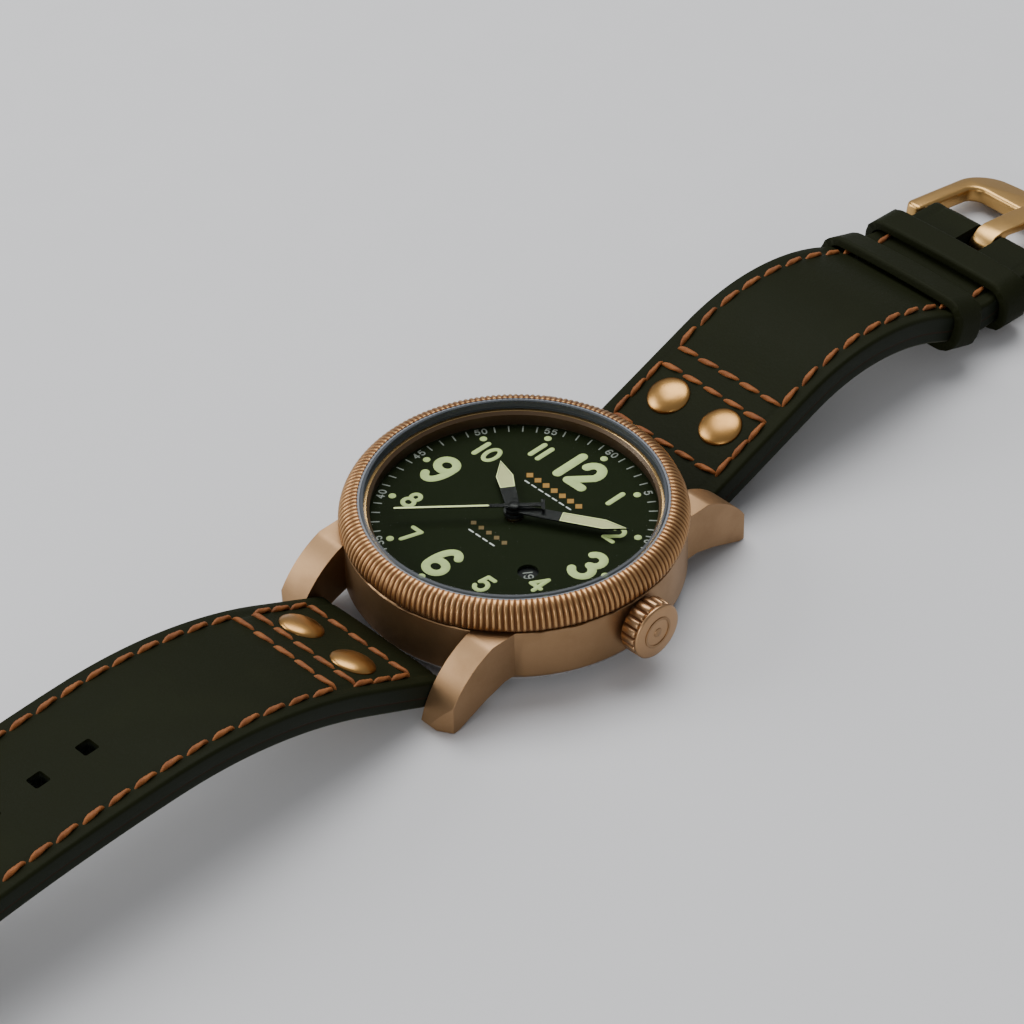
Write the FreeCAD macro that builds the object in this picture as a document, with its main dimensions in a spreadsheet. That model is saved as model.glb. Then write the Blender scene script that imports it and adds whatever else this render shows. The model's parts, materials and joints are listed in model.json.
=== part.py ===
"""Bronze-cased automatic wristwatch on a riveted leather strap.

Frame: the origin is the centre of the flat outer face of the case back. +Z runs out through the dial,
+Y to twelve o'clock and +X to three o'clock, where the crown is. Lengths are millimetres.
"""
import FreeCAD, Part
import math
import os
import Sketcher
from FreeCAD import Placement, Rotation, Vector

DOC = FreeCAD.newDocument("Watch")
SHEET = DOC.addObject("Spreadsheet::Sheet", "Sizes")
TURN = 2 * math.pi

DRIVING_SIZES = {
    # case
    "case_radius": 21.2,
    "case_foot_radius": 20.9,
    "case_bottom": 2.3,
    "case_top": 9.5,
    "case_bore": 18.4,
    "back_bore": 18.9,
    "back_bore_top": 4.2,
    "neck_radius": 19.9,
    "neck_top": 11.1,
    "bezel_radius": 21.5,
    "bezel_bottom": 9.9,
    "crystal_radius": 18.8,
    "crystal_bottom": 11.9,
    "crystal_top": 13.0,
    "gasket_radius": 19.1,
    "rehaut_radius": 17.85,
    "back_face_radius": 17.0,
    "back_flange_radius": 20.5,
    "back_flange_bottom": 1.7,
    "lug_gap": 22.1,
    "lug_width": 4.1,
    "lug_reach": 29.2,
    # crown and stem
    "stem_height": 6.1,
    "stem_radius": 0.6,
    "crown_radius": 3.65,
    "crown_inner": 21.45,
    "crown_outer": 24.4,
    "tube_radius": 1.45,
    "tube_bore": 0.95,
    # dial and hands
    "dial_radius": 18.3,
    "dial_top": 9.7,
    "dial_thick": 0.4,
    "date_hole_radius": 1.3,
    "date_east": 8.5,
    "date_south": 6.0,
    "hand_thick": 0.2,
    "hour_hand_low": 10.35,
    "minute_hand_low": 10.85,
    "seconds_hand_low": 11.42,
    "hour_hand_reach": 10.05,
    "minute_hand_reach": 14.46,
    "seconds_hand_reach": 14.7,
    # movement
    "plate_radius": 13.0,
    "plate_bottom": 5.4,
    "plate_top": 8.2,
    "bridge_low": 2.65,
    "bridge_high": 3.25,
    "pivot_radius": 0.12,
    "pivot_hole": 0.15,
    "holder_bottom": 4.25,
    "holder_top": 9.25,
    # strap and buckle
    "bar_reach": 23.6,
    "bar_height": 2.9,
    "bar_radius": 0.9,
    "strap_hole": 0.96,
    "strap_width": 21.7,
    "long_strap_thick": 3.6,
    "short_strap_thick": 4.0,
    "rivet_radius": 2.75,
    "rivet_spread": 4.5,
    "rivet_shank": 0.8,
    "buckle_bar_radius": 0.9,
    "buckle_thick": 2.4,
    "buckle_half_width": 13.2,
    "buckle_window_half": 10.6,
    "keeper_thick": 1.3,
    "keeper_length": 4.6,
}


class Dim:
    """A size that knows both its number and its formula in the sheet."""

    def __init__(self, value, text):
        self.value = value
        self.text = text

    def _join(self, sign, other, value):
        return Dim(value, "(%s %s %s)" % (self.text, sign, other.text))

    def __add__(self, other):
        other = dim(other)
        return self._join("+", other, self.value + other.value)

    def __sub__(self, other):
        other = dim(other)
        return self._join("-", other, self.value - other.value)

    def __mul__(self, other):
        other = dim(other)
        return self._join("*", other, self.value * other.value)

    def __truediv__(self, other):
        other = dim(other)
        return self._join("/", other, self.value / other.value)

    def __neg__(self):
        return Dim(-self.value, "(-1 * %s)" % self.text)


def dim(size):
    """A Dim from a Dim or a plain number."""
    if isinstance(size, Dim):
        return size
    return Dim(float(size), "(%.6f)" % size)


class Sizes:
    """The sheet's cells as Dims, by alias."""

    def __getattr__(self, alias):
        return Dim(DRIVING_SIZES[alias], "Sizes." + alias)


S = Sizes()


def fill_sheet():
    """One row a size: its name, its number and an alias."""
    for row, (alias, number) in enumerate(DRIVING_SIZES.items(), start=1):
        SHEET.set("A%d" % row, alias)
        SHEET.set("B%d" % row, repr(number))
        SHEET.setAlias("B%d" % row, alias)
    DOC.recompute()


# ---------------------------------------------------------------- outlines

def circle(x, y, radius):
    """A bound circle for a sketch."""
    return ("circle", dim(x), dim(y), dim(radius))


def loop(*points):
    """A closed run of straight lines whose corners are bound to the sheet."""
    return ("loop", [(dim(x), dim(y)) for x, y in points])


def rectangle(x_low, y_low, x_high, y_high):
    """A bound rectangle."""
    return loop((x_low, y_low), (x_high, y_low), (x_high, y_high), (x_low, y_high))


def free_loop(points):
    """A closed run of straight lines with many corners, placed by a formula."""
    return ("free", points)


def edges(curves):
    """A closed run of ready-made lines and arcs."""
    return ("edges", curves)


def toothed(teeth, module, addendum=0.85, dedendum=1.25, width=0.38):
    """The outline of a wheel whose first tooth points along +X."""
    pitch = TURN / teeth
    pitch_radius = teeth * module / 2
    root = pitch_radius - dedendum * module
    tip = pitch_radius + addendum * module
    flank = ((root, -0.26), (pitch_radius, -width / 2), (tip, -0.07), (tip, 0.07),
             (pitch_radius, width / 2), (root, 0.26))
    corners = []
    for tooth in range(teeth):
        for radius, offset in flank:
            angle = (tooth + offset) * pitch
            corners.append((radius * math.cos(angle), radius * math.sin(angle)))
    return free_loop(corners)


def pinion(leaves, module):
    """The outline of a pinion: narrower, lower leaves."""
    return toothed(leaves, module, addendum=0.5, dedendum=1.3, width=0.3)


def mesh_turn(direction, driver_teeth, driver_turn, driven_teeth):
    """Turn, in radians, that puts a driven wheel's gap on its driver's tooth."""
    slip = (driver_turn - direction) * driver_teeth / driven_teeth
    return direction + math.pi + math.pi / driven_teeth - slip


# ---------------------------------------------------------------- pieces

class Piece:
    """One piece of the watch: a body that collects padded, turned and cut features."""

    def __init__(self, name):
        self.body = DOC.addObject("PartDesign::Body", name)
        self.body.Label = name
        self.count = 0

    def _plane(self, role):
        for feature in self.body.Origin.OriginFeatures:
            if feature.Role == role:
                return feature
        raise ValueError(role)

    def sketch(self, role, shapes, offset=0):
        """A sketch on one of the body's own planes, moved along the plane's normal."""
        self.count += 1
        sketch = self.body.newObject("Sketcher::SketchObject", "%s_outline_%d" % (self.body.Name, self.count))
        sketch.AttachmentSupport = [(self._plane(role), "")]
        sketch.MapMode = "FlatFace"
        offset = dim(offset)
        sketch.AttachmentOffset = Placement(Vector(0, 0, offset.value), Rotation())
        sketch.setExpression("AttachmentOffset.Base.z", offset.text)
        for shape in shapes:
            self._draw(sketch, shape)
        return sketch

    def _draw(self, sketch, shape):
        if shape[0] == "circle":
            self._draw_circle(sketch, *shape[1:])
        elif shape[0] == "loop":
            self._draw_loop(sketch, shape[1])
        elif shape[0] == "free":
            corners = [Vector(x, y, 0) for x, y in shape[1]]
            ends = corners[1:] + corners[:1]
            sketch.addGeometry([Part.LineSegment(a, b) for a, b in zip(corners, ends)], False)
        else:
            sketch.addGeometry(shape[1], False)

    def _draw_circle(self, sketch, x, y, radius):
        centre = Vector(x.value, y.value, 0)
        index = sketch.addGeometry(Part.Circle(centre, Vector(0, 0, 1), radius.value), False)
        for kind, at in (("DistanceX", x), ("DistanceY", y)):
            number = sketch.addConstraint(Sketcher.Constraint(kind, index, 3, at.value))
            sketch.setExpression("Constraints[%d]" % number, at.text)
        number = sketch.addConstraint(Sketcher.Constraint("Radius", index, radius.value))
        sketch.setExpression("Constraints[%d]" % number, radius.text)

    def _draw_loop(self, sketch, corners):
        ends = corners[1:] + corners[:1]
        first = None
        for (ax, ay), (bx, by) in zip(corners, ends):
            line = Part.LineSegment(Vector(ax.value, ay.value, 0), Vector(bx.value, by.value, 0))
            index = sketch.addGeometry(line, False)
            first = index if first is None else first
            for kind, at in (("DistanceX", ax), ("DistanceY", ay)):
                number = sketch.addConstraint(Sketcher.Constraint(kind, index, 1, at.value))
                sketch.setExpression("Constraints[%d]" % number, at.text)
        last = first + len(corners) - 1
        for index in range(first, last):
            sketch.addConstraint(Sketcher.Constraint("Coincident", index, 2, index + 1, 1))
        sketch.addConstraint(Sketcher.Constraint("Coincident", last, 2, first, 1))

    def _feature(self, kind, sketch):
        self.count += 1
        feature = self.body.newObject(kind, "%s_%d" % (self.body.Name, self.count))
        feature.Profile = sketch
        sketch.Visibility = False
        self.body.Tip = feature
        return feature

    def pad(self, shapes, low, high, role="XY_Plane"):
        """Material between two heights over the plane."""
        low, high = dim(low), dim(high)
        feature = self._feature("PartDesign::Pad", self.sketch(role, shapes, low))
        length = high - low
        feature.Length = length.value
        feature.setExpression("Length", length.text)
        return self

    def cut(self, shapes, low, high, role="XY_Plane"):
        """A cut between two heights over the plane."""
        low, high = dim(low), dim(high)
        feature = self._feature("PartDesign::Pocket", self.sketch(role, shapes, low))
        length = high - low
        feature.Length = length.value
        feature.setExpression("Length", length.text)
        feature.Reversed = True
        return self

    def turn(self, *corners):
        """A ring or disc turned about Z from corners given as (radius, height)."""
        sketch = self.sketch("XZ_Plane", [loop(*corners)])
        feature = self._feature("PartDesign::Revolution", sketch)
        feature.ReferenceAxis = (sketch, ["V_Axis"])
        feature.Angle = 360
        return self

    def turn_edges(self, curves):
        """A ring turned about Z from lines and arcs."""
        sketch = self.sketch("XZ_Plane", [edges(curves)])
        feature = self._feature("PartDesign::Revolution", sketch)
        feature.ReferenceAxis = (sketch, ["V_Axis"])
        feature.Angle = 360
        return self

    def ring_of(self, count):
        """Repeats the last feature evenly about Z."""
        original = self.body.Tip
        pattern = self.body.newObject("PartDesign::PolarPattern", "%s_ring" % original.Name)
        pattern.Originals = [original]
        pattern.Axis = (self._plane("Z_Axis"), [""])
        pattern.Angle = 360
        pattern.Occurrences = count
        self.body.Tip = pattern
        return self

    def place(self, x=0, y=0, z=0, rotation=None):
        """Moves the finished body to its place in the watch."""
        at = [dim(x), dim(y), dim(z)]
        self.body.Placement = Placement(Vector(*[part.value for part in at]), rotation or Rotation())
        for axis, part in zip("xyz", at):
            self.body.setExpression("Placement.Base." + axis, part.text)
        return self


def about_z(angle):
    """A turn about Z, in radians."""
    return Rotation(Vector(0, 0, 1), math.degrees(angle))


ALONG_X = Rotation(Vector(0, 1, 0), 90)


# ---------------------------------------------------------------- case

def lug_profile():
    """Side view of one lug as lines and an arc, outwards and up."""
    root = Vector(13.0, 2.9, 0)
    root_top = Vector(13.0, 9.45, 0)
    shoulder = Vector(18.3, 9.45, 0)
    knee = Vector(23.2, 6.3, 0)
    toe = Vector(26.4, 0.7, 0)
    tip = Vector(26.0, 0.06, 0)
    heel = Vector(24.1, 0.12, 0)
    under = Vector(19.6, 2.0, 0)
    arch = Vector(16.5, 2.9, 0)
    return [Part.LineSegment(root, root_top), Part.LineSegment(root_top, shoulder),
            Part.Arc(shoulder, knee, toe), Part.LineSegment(toe, tip), Part.LineSegment(tip, heel),
            Part.LineSegment(heel, under), Part.LineSegment(under, arch), Part.LineSegment(arch, root)]


def mirrored(curves):
    """The same outline on the other side of the vertical axis."""
    flipped = []
    for curve in curves:
        twin = curve.copy()
        twin.mirror(Vector(0, 0, 0), Vector(0, 1, 0))
        flipped.append(twin)
    return flipped


def build_mid_case():
    """The bronze middle: a turned band with four curved lugs, a crown hole and spring-bar holes."""
    case = Piece("mid_case")
    case.turn((0, S.case_bottom), (S.case_foot_radius, S.case_bottom), (S.case_radius, S.case_bottom + 0.6),
              (S.case_radius, S.case_top - 0.15), (S.case_radius - 0.15, S.case_top),
              (S.neck_radius, S.case_top), (S.neck_radius, S.neck_top), (0, S.neck_top))
    profiles = [edges(lug_profile()), edges(mirrored(lug_profile()))]
    inner = S.lug_gap / 2
    case.pad(profiles, inner, inner + S.lug_width, "YZ_Plane")
    case.pad(profiles, -(inner + S.lug_width), -inner, "YZ_Plane")
    case.cut([circle(0, 0, 40), circle(0, 0, S.lug_reach)], -1, 20)
    case.cut([circle(0, 0, S.back_bore)], -1, S.back_bore_top)
    case.cut([circle(0, 0, S.case_bore)], 0, 15)
    case.cut([circle(0, S.stem_height, S.tube_radius)], 10, 30, "YZ_Plane")
    pin = 0.46
    for side in (1, -1):
        holes = [circle(S.bar_reach * way, S.bar_height, pin) for way in (1, -1)]
        low = inner - 0.5 if side > 0 else -(inner + 1.4)
        case.cut(holes, low, low + 1.9, "YZ_Plane")
    return case


def build_bezel():
    """Domed ring pressed on the case neck; it holds the crystal."""
    low = DRIVING_SIZES["bezel_bottom"]
    high = DRIVING_SIZES["crystal_top"]
    outer = DRIVING_SIZES["bezel_radius"]
    seat = DRIVING_SIZES["gasket_radius"]
    shoulder_low = DRIVING_SIZES["neck_top"] + 0.05
    shoulder_high = DRIVING_SIZES["crystal_bottom"] - 0.05
    neck = DRIVING_SIZES["neck_radius"] + 0.02
    bore = DRIVING_SIZES["case_bore"]
    skirt = Vector(outer, low + 0.3, 0)
    crest = Vector(seat + 0.1, high, 0)
    middle = Vector(seat + 0.1 + (outer - seat - 0.1) * math.sqrt(0.5),
                    low + 0.3 + (high - low - 0.3) * math.sqrt(0.5), 0)
    corners = [crest, Vector(seat, high, 0), Vector(seat, shoulder_high, 0), Vector(bore, shoulder_high, 0),
               Vector(bore, shoulder_low, 0), Vector(neck, shoulder_low, 0), Vector(neck, low, 0),
               Vector(outer - 0.15, low, 0), skirt]
    curves = [Part.LineSegment(a, b) for a, b in zip(corners[:-1], corners[1:])]
    curves.append(Part.Arc(skirt, middle, crest))
    return Piece("bezel").turn_edges(curves)


def build_case_rings():
    """Crystal, its gasket, the sloped ring round the dial and the back gasket."""
    high = S.crystal_top
    Piece("crystal").turn((0, S.crystal_bottom), (S.crystal_radius, S.crystal_bottom),
                          (S.crystal_radius, high - 0.1), (S.crystal_radius - 0.2, high + 0.1), (0, high + 0.1))
    Piece("crystal_gasket").turn((S.crystal_radius, S.crystal_bottom - 0.05),
                                 (S.gasket_radius, S.crystal_bottom - 0.05),
                                 (S.gasket_radius, high - 0.1), (S.crystal_radius, high - 0.1))
    rim = S.case_bore - 0.05
    Piece("rehaut_ring").turn((S.rehaut_radius, S.dial_top), (rim, S.dial_top), (rim, S.crystal_bottom - 0.05),
                              (S.rehaut_radius + 0.15, S.crystal_bottom - 0.05),
                              (S.rehaut_radius - 0.25, S.crystal_bottom - 0.45))
    Piece("case_back_gasket").turn((S.case_bore + 0.02, S.back_bore_top - 0.3),
                                   (S.back_bore - 0.02, S.back_bore_top - 0.3),
                                   (S.back_bore - 0.02, S.back_bore_top), (S.case_bore + 0.02, S.back_bore_top))


def build_case_back():
    """Steel back with a flat face, a bevel, a flange and a plug that screws into the case."""
    back = Piece("case_back")
    plug = S.back_bore - 0.03
    hollow = S.back_face_radius + 0.4
    plug_top = S.back_bore_top - 0.3
    back.turn((0, 0), (S.back_face_radius, 0), (S.back_face_radius + 1.6, 0.9),
              (S.back_face_radius + 1.6, S.back_flange_bottom), (S.back_flange_radius, S.back_flange_bottom),
              (S.back_flange_radius, S.case_bottom), (plug, S.case_bottom), (plug, plug_top),
              (hollow, plug_top), (hollow, 1.0), (0, 1.0))
    back.cut([circle(15.2, 0, 0.9)], -0.5, 0.45)
    back.ring_of(6)
    return back


def build_movement_ring():
    """Holder between movement and case, with a hole for the stem."""
    holder = Piece("movement_ring")
    inner = S.plate_radius + 0.02
    outer = S.case_bore - 0.1
    holder.turn((inner, S.holder_bottom), (outer, S.holder_bottom), (outer, S.holder_top), (inner, S.holder_top))
    holder.cut([circle(0, S.stem_height, S.tube_radius + 0.1)], 10, 25, "YZ_Plane")
    return holder


def build_dial():
    """Dial plate with its centre hole and round date hole."""
    dial = Piece("dial")
    low = S.dial_top - S.dial_thick
    dial.pad([circle(0, 0, S.dial_radius), circle(0, 0, 1.15),
              circle(S.date_east, -S.date_south, S.date_hole_radius)], low, S.dial_top)
    return dial


# ---------------------------------------------------------------- crown and keyless works

def build_crown():
    """Fluted push-pull crown, built along Z and laid along X."""
    crown = Piece("crown")
    length = S.crown_outer - S.crown_inner
    crown.turn((2.0, 0), (S.crown_radius - 0.45, 0), (S.crown_radius - 0.05, 0.35), (S.crown_radius, length - 0.8),
               (S.crown_radius, length - 0.2), (S.crown_radius - 0.2, length), (0, length), (0, 1.9), (2.0, 1.9))
    crown.cut([circle(S.crown_radius + 0.1, 0, 0.42)], -1, length - 0.75)
    crown.ring_of(18)
    crown.cut([circle(0, 0, S.stem_radius)], 1, 2.4)
    crown.place(S.crown_inner, 0, S.stem_height, ALONG_X)
    return crown


def build_stem_parts():
    """Gasket in the crown, the stem, and the two pinions that it carries."""
    gasket = Piece("crown_gasket")
    gasket.turn((S.tube_radius + 0.03, 0.3), (1.98, 0.3), (1.98, 1.1), (S.tube_radius + 0.03, 1.1))
    gasket.place(S.crown_inner, 0, S.stem_height, ALONG_X)
    stem = Piece("winding_stem")
    stem.turn((0, 7.0), (0.35, 7.0), (0.4, 8.2), (S.stem_radius, 8.2), (S.stem_radius, 12.1), (0.4, 12.1),
              (0.4, 12.6), (S.stem_radius, 12.6), (S.stem_radius, 23.84), (0, 23.84))
    stem.place(0, 0, S.stem_height, ALONG_X)
    for name, start, end, teeth in (("winding_pinion", 10.6, 11.5, 16), ("sliding_pinion", 8.6, 9.8, 14)):
        wheel = Piece(name)
        wheel.pad([toothed(teeth, 0.15), circle(0, 0, S.stem_radius + 0.03)], start, end)
        wheel.place(0, 0, S.stem_height, ALONG_X)
    tube = Piece("crown_tube")
    tube.turn((S.tube_bore, 17.9), (S.tube_radius, 17.9), (S.tube_radius, 23.1), (S.tube_bore, 23.1))
    tube.place(0, 0, S.stem_height, ALONG_X)


def build_setting_lever():
    """Flat lever on the dial side that holds the stem; it pivots on its screw."""
    lever = Piece("setting_lever")
    lever.pad([loop((-0.75, -0.5), (-0.5, -1.5), (0.3, -3.0), (0.9, -2.9), (0.6, -1.2), (0.8, -0.4), (0.7, 0.7),
                    (-1.6, 1.4), (-1.8, 0.7), (-0.8, 0.2)), circle(0, 0, 0.35)],
              S.plate_top + 0.05, S.plate_top + 0.35)
    lever.place(10.2, 3.4, 0)
    return lever


# ---------------------------------------------------------------- movement

BARREL_TEETH, CENTRE_LEAVES, BARREL_MODULE = 72, 12, 0.155
CENTRE_TEETH, THIRD_LEAVES, CENTRE_MODULE = 48, 6, 0.17
THIRD_TEETH, FOURTH_LEAVES, THIRD_MODULE = 45, 6, 0.18
FOURTH_TEETH, ESCAPE_LEAVES, FOURTH_MODULE = 60, 6, 0.127
CANNON_LEAVES, MINUTE_TEETH, MINUTE_MODULE = 8, 24, 0.19
MINUTE_LEAVES, HOUR_TEETH, HOUR_MODULE = 8, 32, 0.152
RATCHET_TEETH, CROWN_WHEEL_TEETH, RATCHET_MODULE = 45, 30, 0.1725

BARREL_WAY = math.radians(60)
THIRD_WAY = math.radians(-10)
ESCAPE_WAY = math.radians(-130)
MINUTE_WAY = math.radians(-100)
CROWN_WHEEL_WAY = math.radians(-20)


def polar(distance, way, start=(0, 0)):
    """A point at a distance and direction from a start."""
    return (start[0] + distance * math.cos(way), start[1] + distance * math.sin(way))


def gap(teeth, leaves, module):
    """Centre distance of a meshing pair."""
    return (teeth + leaves) * module / 2


BARREL_AT = polar(gap(BARREL_TEETH, CENTRE_LEAVES, BARREL_MODULE), BARREL_WAY)
THIRD_AT = polar(gap(CENTRE_TEETH, THIRD_LEAVES, CENTRE_MODULE), THIRD_WAY)
ESCAPE_AT = polar(gap(FOURTH_TEETH, ESCAPE_LEAVES, FOURTH_MODULE), ESCAPE_WAY)
MINUTE_AT = polar(gap(MINUTE_TEETH, CANNON_LEAVES, MINUTE_MODULE), MINUTE_WAY)
CROWN_WHEEL_AT = polar(gap(RATCHET_TEETH, CROWN_WHEEL_TEETH, RATCHET_MODULE), CROWN_WHEEL_WAY, BARREL_AT)
BALANCE_AT = (0.5, -8.4)
PALLET_AT = (-1.02, -5.93)

BARREL_SCREWS = ((-4.5, 10.6), (-10.6, 3.6), (9.6, 7.6))
TRAIN_SCREWS = ((-11.0, -1.6), (10.9, -3.2))
COCK_SCREW = (7.2, -9.6)
PALLET_SCREW = (-6.9, -7.6)
SCREW_RADIUS = 0.35
PILLAR_RADIUS = 0.7


def build_mainplate():
    """Round plate that carries the train, with a barrel recess and a stem channel."""
    plate = Piece("mainplate")
    holes = [circle(x, y, S.pivot_hole) for x, y in (THIRD_AT, ESCAPE_AT, PALLET_AT, BALANCE_AT)]
    plate.pad([circle(0, 0, S.plate_radius), circle(0, 0, 0.45)] + holes, S.plate_bottom, S.plate_top)
    plate.cut([circle(*BARREL_AT, 5.95)], 5, 7.1)
    plate.cut([circle(*BARREL_AT, 0.53)], 7, 9)
    plate.cut([rectangle(6.6, -1.7, 14, 1.7)], 5, 7.6)
    plate.pad([circle(*MINUTE_AT, 0.2)], S.plate_top, 8.9)
    plate.pad([circle(10.2, 3.4, 0.3)], S.plate_top, 8.6)
    return plate


def segment(radius, low, high):
    """The part of a disc between two horizontal lines."""
    right_low = math.sqrt(radius ** 2 - low ** 2)
    right_high = math.sqrt(radius ** 2 - high ** 2) if high < radius else 0
    start = math.asin(low / radius)
    stop = math.asin(min(high / radius, 1))
    axis = Vector(0, 0, 1)
    right = Part.ArcOfCircle(Part.Circle(Vector(0, 0, 0), axis, radius), start, stop)
    left = Part.ArcOfCircle(Part.Circle(Vector(0, 0, 0), axis, radius), math.pi - stop, math.pi - start)
    curves = [right, left, Part.LineSegment(Vector(-right_low, low, 0), Vector(right_low, low, 0))]
    if right_high:
        curves.append(Part.LineSegment(Vector(right_high, high, 0), Vector(-right_high, high, 0)))
    return edges(curves)


def build_barrel_bridge():
    """Bridge over the barrel and the crown wheel, on three drilled pillars."""
    bridge = Piece("barrel_bridge")
    pillars = [circle(x, y, PILLAR_RADIUS) for x, y in BARREL_SCREWS]
    bridge.pad([segment(12.85, 1.3, 12.85)], S.bridge_low, S.bridge_high)
    bridge.pad(pillars, S.bridge_low, S.plate_bottom)
    drill = [circle(x, y, SCREW_RADIUS + 0.02) for x, y in BARREL_SCREWS]
    bridge.cut(drill + [circle(*BARREL_AT, 0.53), circle(*CROWN_WHEEL_AT, 1.5)], 2, 6)
    return bridge


def build_train_bridge():
    """Bridge over the wheels between barrel and balance."""
    bridge = Piece("train_bridge")
    bridge.pad([segment(12.85, -4.0, 1.1)], S.bridge_low, S.bridge_high)
    bridge.pad([circle(x, y, PILLAR_RADIUS) for x, y in TRAIN_SCREWS], S.bridge_low, S.plate_bottom)
    drill = [circle(x, y, SCREW_RADIUS + 0.02) for x, y in TRAIN_SCREWS]
    jewels = [circle(x, y, 0.5) for x, y in ((0, 0), THIRD_AT, ESCAPE_AT)]
    bridge.cut(drill + jewels, 2, 6)
    return bridge


def arm(start, end, half_width):
    """A straight arm with square ends between two points."""
    way = math.atan2(end[1] - start[1], end[0] - start[0])
    along = (math.cos(way) * half_width, math.sin(way) * half_width)
    across = (-along[1], along[0])
    corners = []
    for point, ahead, side in ((start, -1, -1), (end, 1, -1), (end, 1, 1), (start, -1, 1)):
        corners.append((point[0] + ahead * along[0] + side * across[0],
                        point[1] + ahead * along[1] + side * across[1]))
    return free_loop(corners)


def build_cocks():
    """Balance cock and pallet bridge, each an arm on one pillar."""
    for name, pivot, screw, low, high, hole in (
            ("balance_cock", BALANCE_AT, COCK_SCREW, S.bridge_low, S.bridge_high - 0.1, 0.5),
            ("pallet_bridge", PALLET_AT, PALLET_SCREW, dim(4.1), dim(4.5), 0.15)):
        cock = Piece(name)
        cock.pad([arm(pivot, screw, 0.95)], low, high)
        cock.pad([circle(*screw, PILLAR_RADIUS)], low, S.plate_bottom)
        cock.cut([circle(*screw, SCREW_RADIUS + 0.02), circle(*pivot, hole)], 2, 6)


def build_screws():
    """Seven bridge screws as one group of separate solids."""
    solids = []
    heads = [(at, DRIVING_SIZES["bridge_low"]) for at in BARREL_SCREWS + TRAIN_SCREWS + (COCK_SCREW,)]
    heads.append((PALLET_SCREW, 4.1))
    for (x, y), seat in heads:
        head = Part.makeCylinder(0.75, 0.32, Vector(x, y, seat - 0.32))
        slot = Part.makeBox(2, 0.2, 0.14, Vector(x - 1, y - 0.1, seat - 0.34))
        shank = Part.makeCylinder(SCREW_RADIUS, 5.35 - seat, Vector(x, y, seat))
        solids.append(head.cut(slot).fuse(shank))
    screws = DOC.addObject("Part::Feature", "bridge_screws")
    screws.Shape = Part.makeCompound(solids)
    screws.Label = "bridge_screws"


def build_jewels():
    """Four ruby bearings pressed in the bridges."""
    low = DRIVING_SIZES["bridge_low"]
    high = DRIVING_SIZES["bridge_high"]
    solids = []
    for (x, y), top, bore in (((0, 0), high, 0.18), (THIRD_AT, high, 0.15), (ESCAPE_AT, high, 0.15),
                              (BALANCE_AT, high - 0.1, 0.15)):
        ring = Part.makeCylinder(0.5, top - low - 0.1, Vector(x, y, low + 0.05))
        solids.append(ring.cut(Part.makeCylinder(bore, 2, Vector(x, y, low - 0.5))))
    jewels = DOC.addObject("Part::Feature", "bearing_jewels")
    jewels.Shape = Part.makeCompound(solids)
    jewels.Label = "bearing_jewels"


def build_barrel():
    """Drum, cover, arbor and spring of the going barrel."""
    turn = mesh_turn(BARREL_WAY, CENTRE_LEAVES, 0, BARREL_TEETH)
    drum = Piece("barrel_drum")
    drum.pad([toothed(BARREL_TEETH, BARREL_MODULE)], 4.85, 5.15)
    drum.pad([circle(0, 0, 5.2)], 5.15, 6.85)
    drum.cut([circle(0, 0, 4.9)], 5.15, 7)
    drum.cut([circle(0, 0, 0.54)], 4, 6)
    drum.place(*BARREL_AT, 0, about_z(turn))
    cover = Piece("barrel_cover")
    cover.pad([circle(0, 0, 4.9), circle(0, 0, 0.54)], 6.6, 6.8)
    cover.place(*BARREL_AT, 0)
    arbor = Piece("barrel_arbor")
    arbor.turn((0, 2.4), (0.5, 2.4), (0.5, 5.25), (0.8, 5.25), (0.8, 6.5), (0.5, 6.5), (0.5, 7.9), (0, 7.9))
    arbor.place(*BARREL_AT, 0)
    spring = Piece("mainspring")
    spring.pad([edges(spiral(1.1, 0.22, 14, 0.12))], 5.3, 6.45)
    spring.place(*BARREL_AT, 0)


def spiral(start_radius, step, half_turns, thick):
    """A flat spring: half circles about two centres that lie half a step apart."""
    axis = Vector(0, 0, 1)
    curves = []
    ends = []
    for grow in (0, thick):
        run = []
        for turn in range(half_turns):
            centre = Vector(turn % 2 * step / 2, 0, 0)
            start = turn % 2 * math.pi
            radius = start_radius + grow + turn * step / 2
            run.append(Part.ArcOfCircle(Part.Circle(centre, axis, radius), start, start + math.pi))
        ends.append((run[0].StartPoint, run[-1].EndPoint))
        curves += run
    for inner, outer in zip(*ends):
        curves.append(Part.LineSegment(inner, outer))
    return curves


def build_winding_wheels():
    """Ratchet wheel on the barrel arbor and the crown wheel beside it, under the rotor."""
    ratchet = Piece("ratchet_wheel")
    ratchet.pad([toothed(RATCHET_TEETH, RATCHET_MODULE), circle(0, 0, 0.5)], 2.4, 2.6)
    ratchet.place(*BARREL_AT, 0, about_z(0))
    turn = mesh_turn(CROWN_WHEEL_WAY, RATCHET_TEETH, 0, CROWN_WHEEL_TEETH)
    wheel = Piece("crown_wheel")
    wheel.pad([toothed(CROWN_WHEEL_TEETH, RATCHET_MODULE)], 2.4, 2.6)
    wheel.pad([circle(0, 0, 1.4)], 2.6, 4.3)
    wheel.pad([toothed(30, 0.15)], 4.3, 4.6)
    wheel.place(*CROWN_WHEEL_AT, 0, about_z(turn))


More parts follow.
